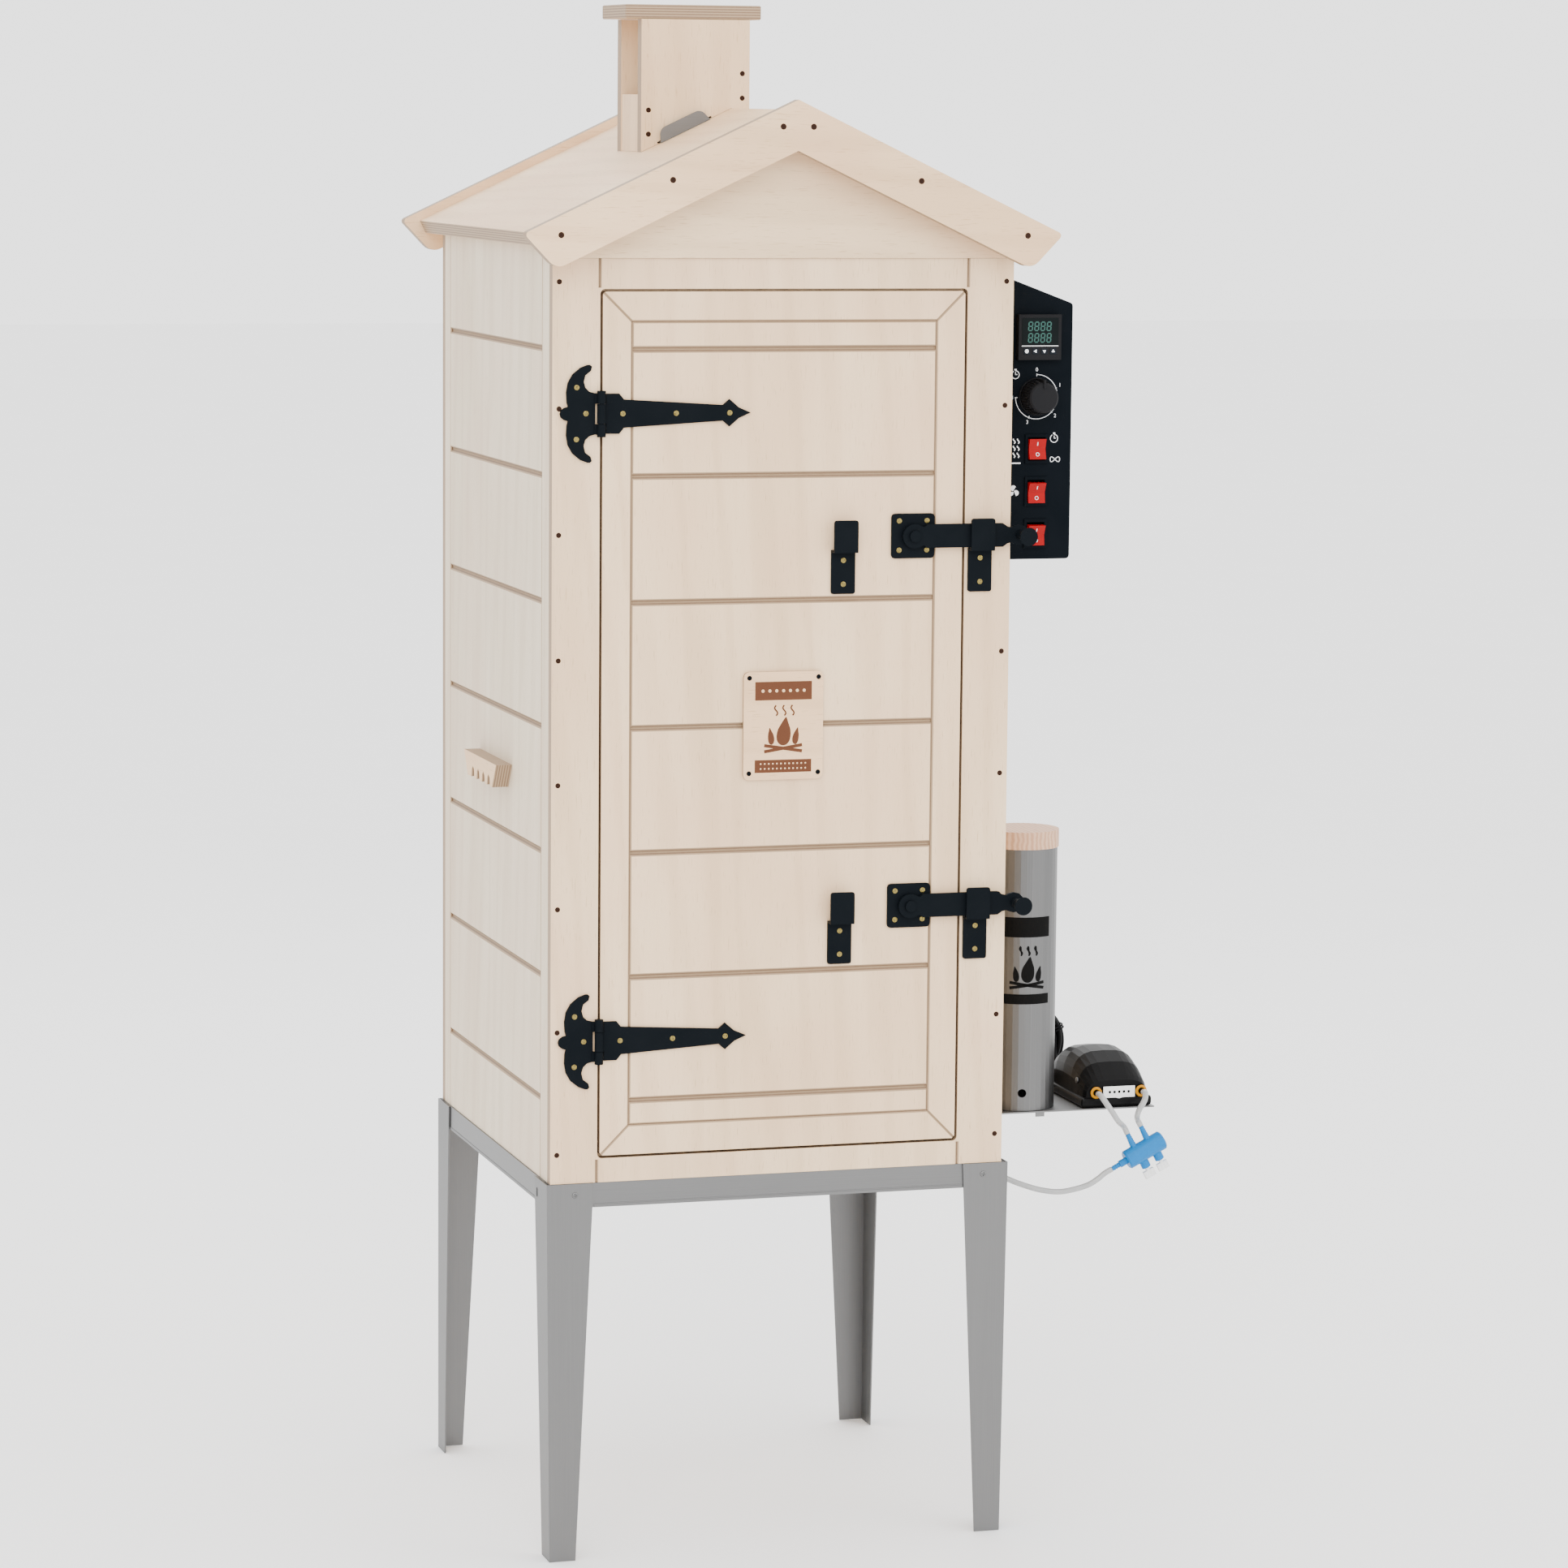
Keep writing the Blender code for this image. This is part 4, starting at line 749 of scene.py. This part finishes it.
def controller_face():
    lo, hi = mm_box("temperature_controller")
    m = facing(P((lo.x + hi.x) / 2, lo.y, (lo.z + hi.z) / 2), FRONT)
    bm = bmesh.new()
    bar(bm, m, -20.5, 20.5, -8.6, 20.5, -0.2, 0.25)
    from_bmesh(bm, "display_window", "cabinet", DISPLAY)
    seven = [((0, 1), (1, 1)), ((1, 1), (1, 0)), ((1, 0), (1, -1)), ((0, -1), (1, -1)),
             ((0, 0), (0, -1)), ((0, 1), (0, 0)), ((0, 0), (1, 0))]
    bm = bmesh.new()
    for zc, size in ((11.6, 4.5), (-0.6, 4.5)):
        for k in range(4):
            x0 = -13.0 + 6.9 * k
            for (ax, az), (bx, bz) in seven:
                p = Vector((x0 + ax * 4.2 + az * 0.35, zc + az * size))
                q = Vector((x0 + bx * 4.2 + bz * 0.35, zc + bz * size))
                d = (q - p) * 0.1
                slab(bm, m, ribbon([tuple(p + d), tuple(q - d)], 1.25), 0.2, 0.34)
    from_bmesh(bm, "display_digits", "cabinet", DIGIT, 0)
    bm = bmesh.new()
    bar(bm, m, -20.5, 20.5, -9.6, -8.8, -0.1, 0.2)
    from_bmesh(bm, "controller_rule", "cabinet", PRINT, 0)
    bm = bmesh.new()
    for k in range(4):
        bar(bm, m, -18.6 + 9.9 * k, -11.4 + 9.9 * k, -18, -11.4, -0.2, 0.6)
    ob = from_bmesh(bm, "controller_keys", "cabinet",
                    coated("grey_key", (0.006, 0.008, 0.011), 0.4), 30)
    mod = ob.modifiers.new("edges", "BEVEL")
    mod.width, mod.segments = 0.5 * MM, 2
    bm = bmesh.new()
    for k, (n, turn) in enumerate(((8, 22), (3, 180), (3, -90), (3, 90))):
        cx = -15 + 9.9 * k
        slab(bm, m, arc(cx, -14.7, 2.2, turn, turn + 360 * (n - 1) / n, n - 1), 0.58, 0.7)
    from_bmesh(bm, "key_marks", "cabinet", PRINT, 0)
    finish_node("temperature_controller", MATT, 1.0)


def switches():
    for i in (1, 2, 3):
        name = "rocker_%d" % i
        finish_node(name, RED, 0.7)
        body = "switch_%d" % i
        tilt = math.radians(0 if i == 1 else 10)
        z_mid = SWITCH_Z[i - 1]
        pivot = P(541, BOX_Y + 3, z_mid)
        turn = Matrix.Translation(pivot) @ Matrix.Rotation(tilt, 4, "X")
        bm = bmesh.new()
        up = turn @ facing(Vector((0, 0, 0)), (0, -1, -0.296))
        up.translation = turn @ (Vector((0, -8.1, 5.6)) * MM)
        bar(bm, up, -0.4, 0.4, -1.9, 1.9, 0.0, 0.2)
        down = turn @ facing(Vector((0, 0, 0)), (0, -1, 0.296))
        down.translation = turn @ (Vector((0, -8.1, -5.6)) * MM)
        loop = arc(0, 0, 1.8, 0, 360, 22)
        for k in range(22):
            slab(bm, down, ribbon([loop[k], loop[k + 1]], 0.6), 0.0, 0.2)
        from_bmesh(bm, name + "_marks", body, PRINT, 0)
    x, z = DIAL
    bm = bmesh.new()
    revolve(bm, [(20.2, 0), (20.2, 1.6), (19.6, 2.4), (18.9, 2.4), (18.6, 0)], P(x, BOX_Y, z), FRONT, 48)
    from_bmesh(bm, "dial_collar", "cabinet", MATT)
    finish_node("timer_knob", MATT, 0.8)
    bm = bmesh.new()
    for k in range(36):
        a = 2 * math.pi * k / 36
        if abs(math.sin(a) - 1) < 0.06:
            continue
        m = facing(P(x + 17.3 * math.cos(a), BOX_Y - 12, z + 17.3 * math.sin(a)),
                   (math.cos(a), -0.08, math.sin(a)), (0, 1, 0))
        bar(bm, m, -0.55, 0.55, -9, 9, -0.4, 0.75)
    from_bmesh(bm, "knob_ribs", "timer", MATT, 0)


# ---- pump, manifold, hoses and lead -------------------------------------------------------
OUTLETS = (644.5, 697.2)                 # the pump's two air outlets, along X
MANIFOLD = (698.3, 90, -14.5)            # its middle
TILT = math.radians(27.4)
INLETS = (-9.3, 8.1)                     # along its axis from the middle
VALVES = (-6.3, 11.1)
INLET_END = 26.2                         # above its axis


def pump_details():
    finish_node("air_pump", PUMP, shade=SOFT)
    y = mm_box("air_pump")[0].y + 7.0
    bm = bmesh.new()
    for x in OUTLETS:
        ring = [(3.2, 0), (6.3, 0), (6.6, 1.2), (5.4, 2.6), (4.0, 2.4), (3.4, 1.0), (3.2, 0)]
        revolve(bm, ring, P(x, y + 0.4, 50), FRONT, 32)
    bmesh.ops.recalc_face_normals(bm, faces=bm.faces)
    from_bmesh(bm, "outlet_rings", "cabinet", YELLOW, 50)
    bm = bmesh.new()
    m = facing(P(671.5, y + 0.2, 50), FRONT)
    outline = [(-18.5, -6.4), (-4, -6.4), (0, -7.6), (4, -6.4), (18.5, -6.4), (18.5, 6.2), (-18.5, 6.2)]
    slab(bm, m, outline, -0.5, 0.7)
    ob = from_bmesh(bm, "pump_label", "cabinet", WHITE, 30)
    mod = ob.modifiers.new("edges", "BEVEL")
    mod.width, mod.segments = 0.5 * MM, 2
    bm = bmesh.new()
    for k in range(5):
        slab(bm, m, arc(-11 + 5.5 * k, 0, 1.5, 0, 345, 20), 0.65, 0.78)
    from_bmesh(bm, "pump_label_dots", "cabinet", DARK_PRINT, 0)
    bm = bmesh.new()
    revolve(bm, [(3.4, -0.6), (3.4, 0.3), (2.2, 0.8), (0, 0.9)], P(630.9, 127, 60), (-1, 0, 0.1), 20)
    from_bmesh(bm, "pump_side_screw", "cabinet", STEEL_X)


def manifold_frame():
    along = Vector((math.cos(TILT), 0, math.sin(TILT)))
    above = Vector((-math.sin(TILT), 0, math.cos(TILT)))
    return Vector(MANIFOLD), along, above


def at_manifold(u, v):
    c, along, above = manifold_frame()
    return c + along * u + above * v


def manifold_details():
    finish_node("air_manifold", BLUE, 0.5, 2)
    _, along, above = manifold_frame()
    bm = bmesh.new()
    for u in INLETS:
        for k in range(5):
            r = 3.65 - 0.17 * k
            revolve(bm, [(r - 0.5, -1.0), (r, -0.7), (r, 0.1), (r - 0.6, 1.0)],
                    P(*at_manifold(u, 13.5 + 2.7 * k)), above, 20)
    for k in range(3):
        revolve(bm, [(2.3, -1.0), (2.95, -0.7), (2.95, 0.1), (2.3, 1.0)],
                P(*at_manifold(-34.5 - 2.7 * k, 0)), -along, 20)
    bmesh.ops.recalc_face_normals(bm, faces=bm.faces)
    from_bmesh(bm, "manifold_barbs", "cabinet", BLUE, 50)
    for i, u in enumerate(VALVES):
        name = "valve_knob_%d" % (i + 1)
        finish_node(name, WHITE, 0.5)
        bm = bmesh.new()
        for k in range(4):
            m = facing(P(*at_manifold(u + 3.6 * (k - 1.5), -26.6)), FRONT, above)
            bar(bm, m, -0.45, 0.45, -3.4, 3.4, 1.8, 2.6)
        from_bmesh(bm, name + "_ribs", "valve_%d" % (i + 1), WHITE, 0)


def smooth_path(points, step):
    """A Catmull-Rom curve through the points, read about every step."""
    p = [Vector(q) for q in points]
    p = [p[0] * 2 - p[1]] + p + [p[-1] * 2 - p[-2]]
    fine = []
    for i in range(1, len(p) - 2):
        a, b, c, d = p[i - 1], p[i], p[i + 1], p[i + 2]
        for k in range(24):
            t = k / 24
            fine.append(0.5 * (2 * b + (c - a) * t + (2 * a - 5 * b + 4 * c - d) * t * t
                               + (3 * b - a - 3 * c + d) * t ** 3))
    fine.append(p[-2])
    total = sum((fine[i + 1] - fine[i]).length for i in range(len(fine) - 1))
    count = max(2, round(total / step))
    out, run = [fine[0]], 0.0
    for i in range(len(fine) - 1):
        seg = (fine[i + 1] - fine[i]).length
        while run + seg >= total / count * len(out) - 1e-6 and len(out) < count:
            out.append(fine[i].lerp(fine[i + 1], (total / count * len(out) - run) / seg))
        run += seg
    out.append(fine[-1])
    return out


def cable(name, points, r, mat, step=3.0):
    """A round cord along a smooth curve; returns it with its length and start in metres."""
    pts = [P(*q) for q in smooth_path(points, step)]
    cu = bpy.data.curves.new(name, "CURVE")
    cu.dimensions = "3D"
    cu.bevel_depth = r * MM
    cu.bevel_resolution = 4
    cu.use_fill_caps = True
    sp = cu.splines.new("POLY")
    sp.points.add(len(pts) - 1)
    for q, v in zip(sp.points, pts):
        q.co = (*v, 1)
    sp.use_smooth = True
    ob = link(bpy.data.objects.new(name, cu), "cabinet", mat)
    return ob, sum((b - a).length for a, b in zip(pts, pts[1:])), pts[0]


HOSE_R, LEAD_R = 3.2, 2.5
LEAD_EXIT = (652.7, 236.0, 52.0)


def above_inlet(i, h):
    return tuple(at_manifold(INLETS[i], INLET_END + h))


def hoses():
    runs = {
        "hose_1": [(OUTLETS[0], 93.5, 50), (OUTLETS[0], 87, 49.8), (648, 81, 43.5), (656, 80, 32),
                   (664.5, 83, 20.5), above_inlet(0, 9), above_inlet(0, 0.3)],
        "hose_2": [(OUTLETS[1], 93.5, 50), (OUTLETS[1], 87, 49.8), (694, 81, 43), (688.4, 80.5, 34),
                   (687, 84, 26), above_inlet(1, 8), above_inlet(1, 0.3)]}
    start = at_manifold(-43.0, 0)
    _, along, _ = manifold_frame()
    d = math.sqrt(0.5)
    lo, hi = mm_box("generator_lid")
    cx, cy = (lo.x + hi.x) / 2, (lo.y + hi.y) / 2
    tip = (cx - d * 52.8, cy + d * 52.8, 75)
    runs["hose_3"] = [tuple(start), tuple(start - along * 9), (644, 90, -44.5), (630, 90, -51.5),
                      (603, 90, -56.4), (580, 91, -54), (557, 94, -47), (538, 101, -39),
                      (526, 118, -32), (521, 145, -28), (520, 180, -25), (521, 215, -21),
                      (523, 243, -12), (524, 258, 6), (524, 260, 28), (523, 252, 52),
                      (521, 232, 69), (520, 208, 76), (tip[0] - 6, tip[1] + 6, 75.5), tip]
    made = {name: cable(name + "_tube", pts, HOSE_R, HOSE) for name, pts in runs.items()}
    for name, (ob, length, begin) in made.items():
        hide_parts(name)


def lead():
    """The pump's mains lead: into its tied coil, six turns in three layers, and out to the plug."""
    x, y, z = LEAD_EXIT
    lo, hi = mm_box("pump_lead_coil")
    cx, cz = (lo.x + hi.x) / 2, (lo.z + hi.z) / 2
    bend, pitch, gap = 20.0, 5.25, 5.25
    pts = [(x, y + 0.3, z), (x, y + 2.6, z), (x, y + 5, z)]
    pts += [(x, y + 5 + bend * math.sin(math.radians(t)), z + bend * (1 - math.cos(math.radians(t))))
            for t in (16, 32, 47.5, 64, 80)]
    first, turns, r0 = -8, 6, cx and x - cx
    y_front = y + 25
    for k in range(0, int(turns * 24) - 5):
        a = first + 15 * k
        run = k / 24
        layer = min(int(run / 2), 2)
        into = run - 2 * layer
        shift = min(into / 0.22, 1.0) if layer else 1.0
        radius = r0 + gap * (layer - 1 + shift if layer else 0)
        along = pitch * into if layer != 1 else pitch * (2 - into)
        pts.append((cx + radius * math.cos(math.radians(a)), y_front + along,
                    cz + radius * math.sin(math.radians(a))))
    relief = mm_box("pump_plug")
    plug_axis = (relief[0].z + 6.5)
    end = pts[-1]
    pts += [(end[0] + 10, end[1] - 1.0, 36.3), (end[0] + 20, 268, plug_axis - 1.2),
            (647.6, 266.5, plug_axis)]
    ob, length, begin = cable("lead_cord", pts, LEAD_R, LEAD, 3.0)
    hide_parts("pump_lead", "pump_lead_coil")
    finish_node("pump_plug", MATT, 0.6)
    bm = bmesh.new()
    tie = 24.0
    ca, sa = math.cos(math.radians(tie)), math.sin(math.radians(tie))
    mid = (x - cx) + gap
    m = facing(P(cx + mid * ca, y_front + pitch, cz + mid * sa), (ca, 0, sa), (-sa, 0, ca))
    for k in range(2):
        band = [(7.9 * math.copysign(abs(math.cos(t)) ** 0.5, math.cos(t)),
                 8.4 * math.copysign(abs(math.sin(t)) ** 0.5, math.sin(t)))
                for t in (2 * math.pi * j / 28 for j in range(28))]
        for j in range(28):
            p, q = band[j], band[(j + 1) % 28]
            a = m @ (Vector((p[0], -1.6 + 3.2 * k, p[1])) * MM)
            b = m @ (Vector((q[0], -1.6 + 3.2 * k, q[1])) * MM)
            mm = facing((a + b) / 2, (b - a))
            bar(bm, mm, -0.7, 0.7, -0.7, 0.7, -(b - a).length / MM / 2 - 0.3,
                (b - a).length / MM / 2 + 0.3)
    tie_ob = from_bmesh(bm, "lead_tie", "cabinet", MATT)


# ---- stage --------------------------------------------------------------------------------
def area_light(name, at, to, size, power, colour=(1, 1, 1)):
    light = bpy.data.lights.new(name, "AREA")
    light.shape = "RECTANGLE"
    light.size, light.size_y = size
    light.energy = power
    light.color = colour
    ob = bpy.data.objects.new(name, light)
    ob.location = at
    ob.rotation_euler = (Vector(to) - Vector(at)).to_track_quat("-Z", "Y").to_euler()
    bpy.context.scene.collection.objects.link(ob)


def stage():
    s = Shader("pale_floor", (0.93, 0.93, 0.93), 0.8)
    fine = s.noise((3, 3, 3), 1.0, 2, 0.5)
    s.out("Base Color", s.mix(fine, (0.92, 0.92, 0.92), (0.95, 0.95, 0.95)))
    bm = bmesh.new()
    bmesh.ops.create_grid(bm, x_segments=1, y_segments=1, size=30)
    me = bpy.data.meshes.new("floor")
    bm.to_mesh(me)
    bm.free()
    me.materials.append(s.mat)
    floor = bpy.data.objects.new("floor", me)
    floor.location.z = -0.0005
    bpy.context.scene.collection.objects.link(floor)
    world = bpy.data.worlds.new("studio")
    world.use_nodes = True
    world.node_tree.nodes["Background"].inputs[0].default_value = (1, 1, 1, 1)
    world.node_tree.nodes["Background"].inputs[1].default_value = 2.5
    bpy.context.scene.world = world
    area_light("key", (-1.4, -3.6, 3.2), (0, 0, 0.8), (2.4, 2.4), 95, (1, 0.97, 0.93))
    area_light("fill", (2.8, -3.2, 1.8), (0, 0, 0.8), (2.0, 2.6), 25)
    area_light("rim", (0.5, 3.0, 3.2), (0, 0, 1.0), (2.6, 1.6), 40)


dress_wood()
dress_metal()
fastenings()
stand_details()
plaque_art()
generator_details()
controller_face()
panel_print()
switches()
pump_details()
manifold_details()
hoses()
lead()
stage()
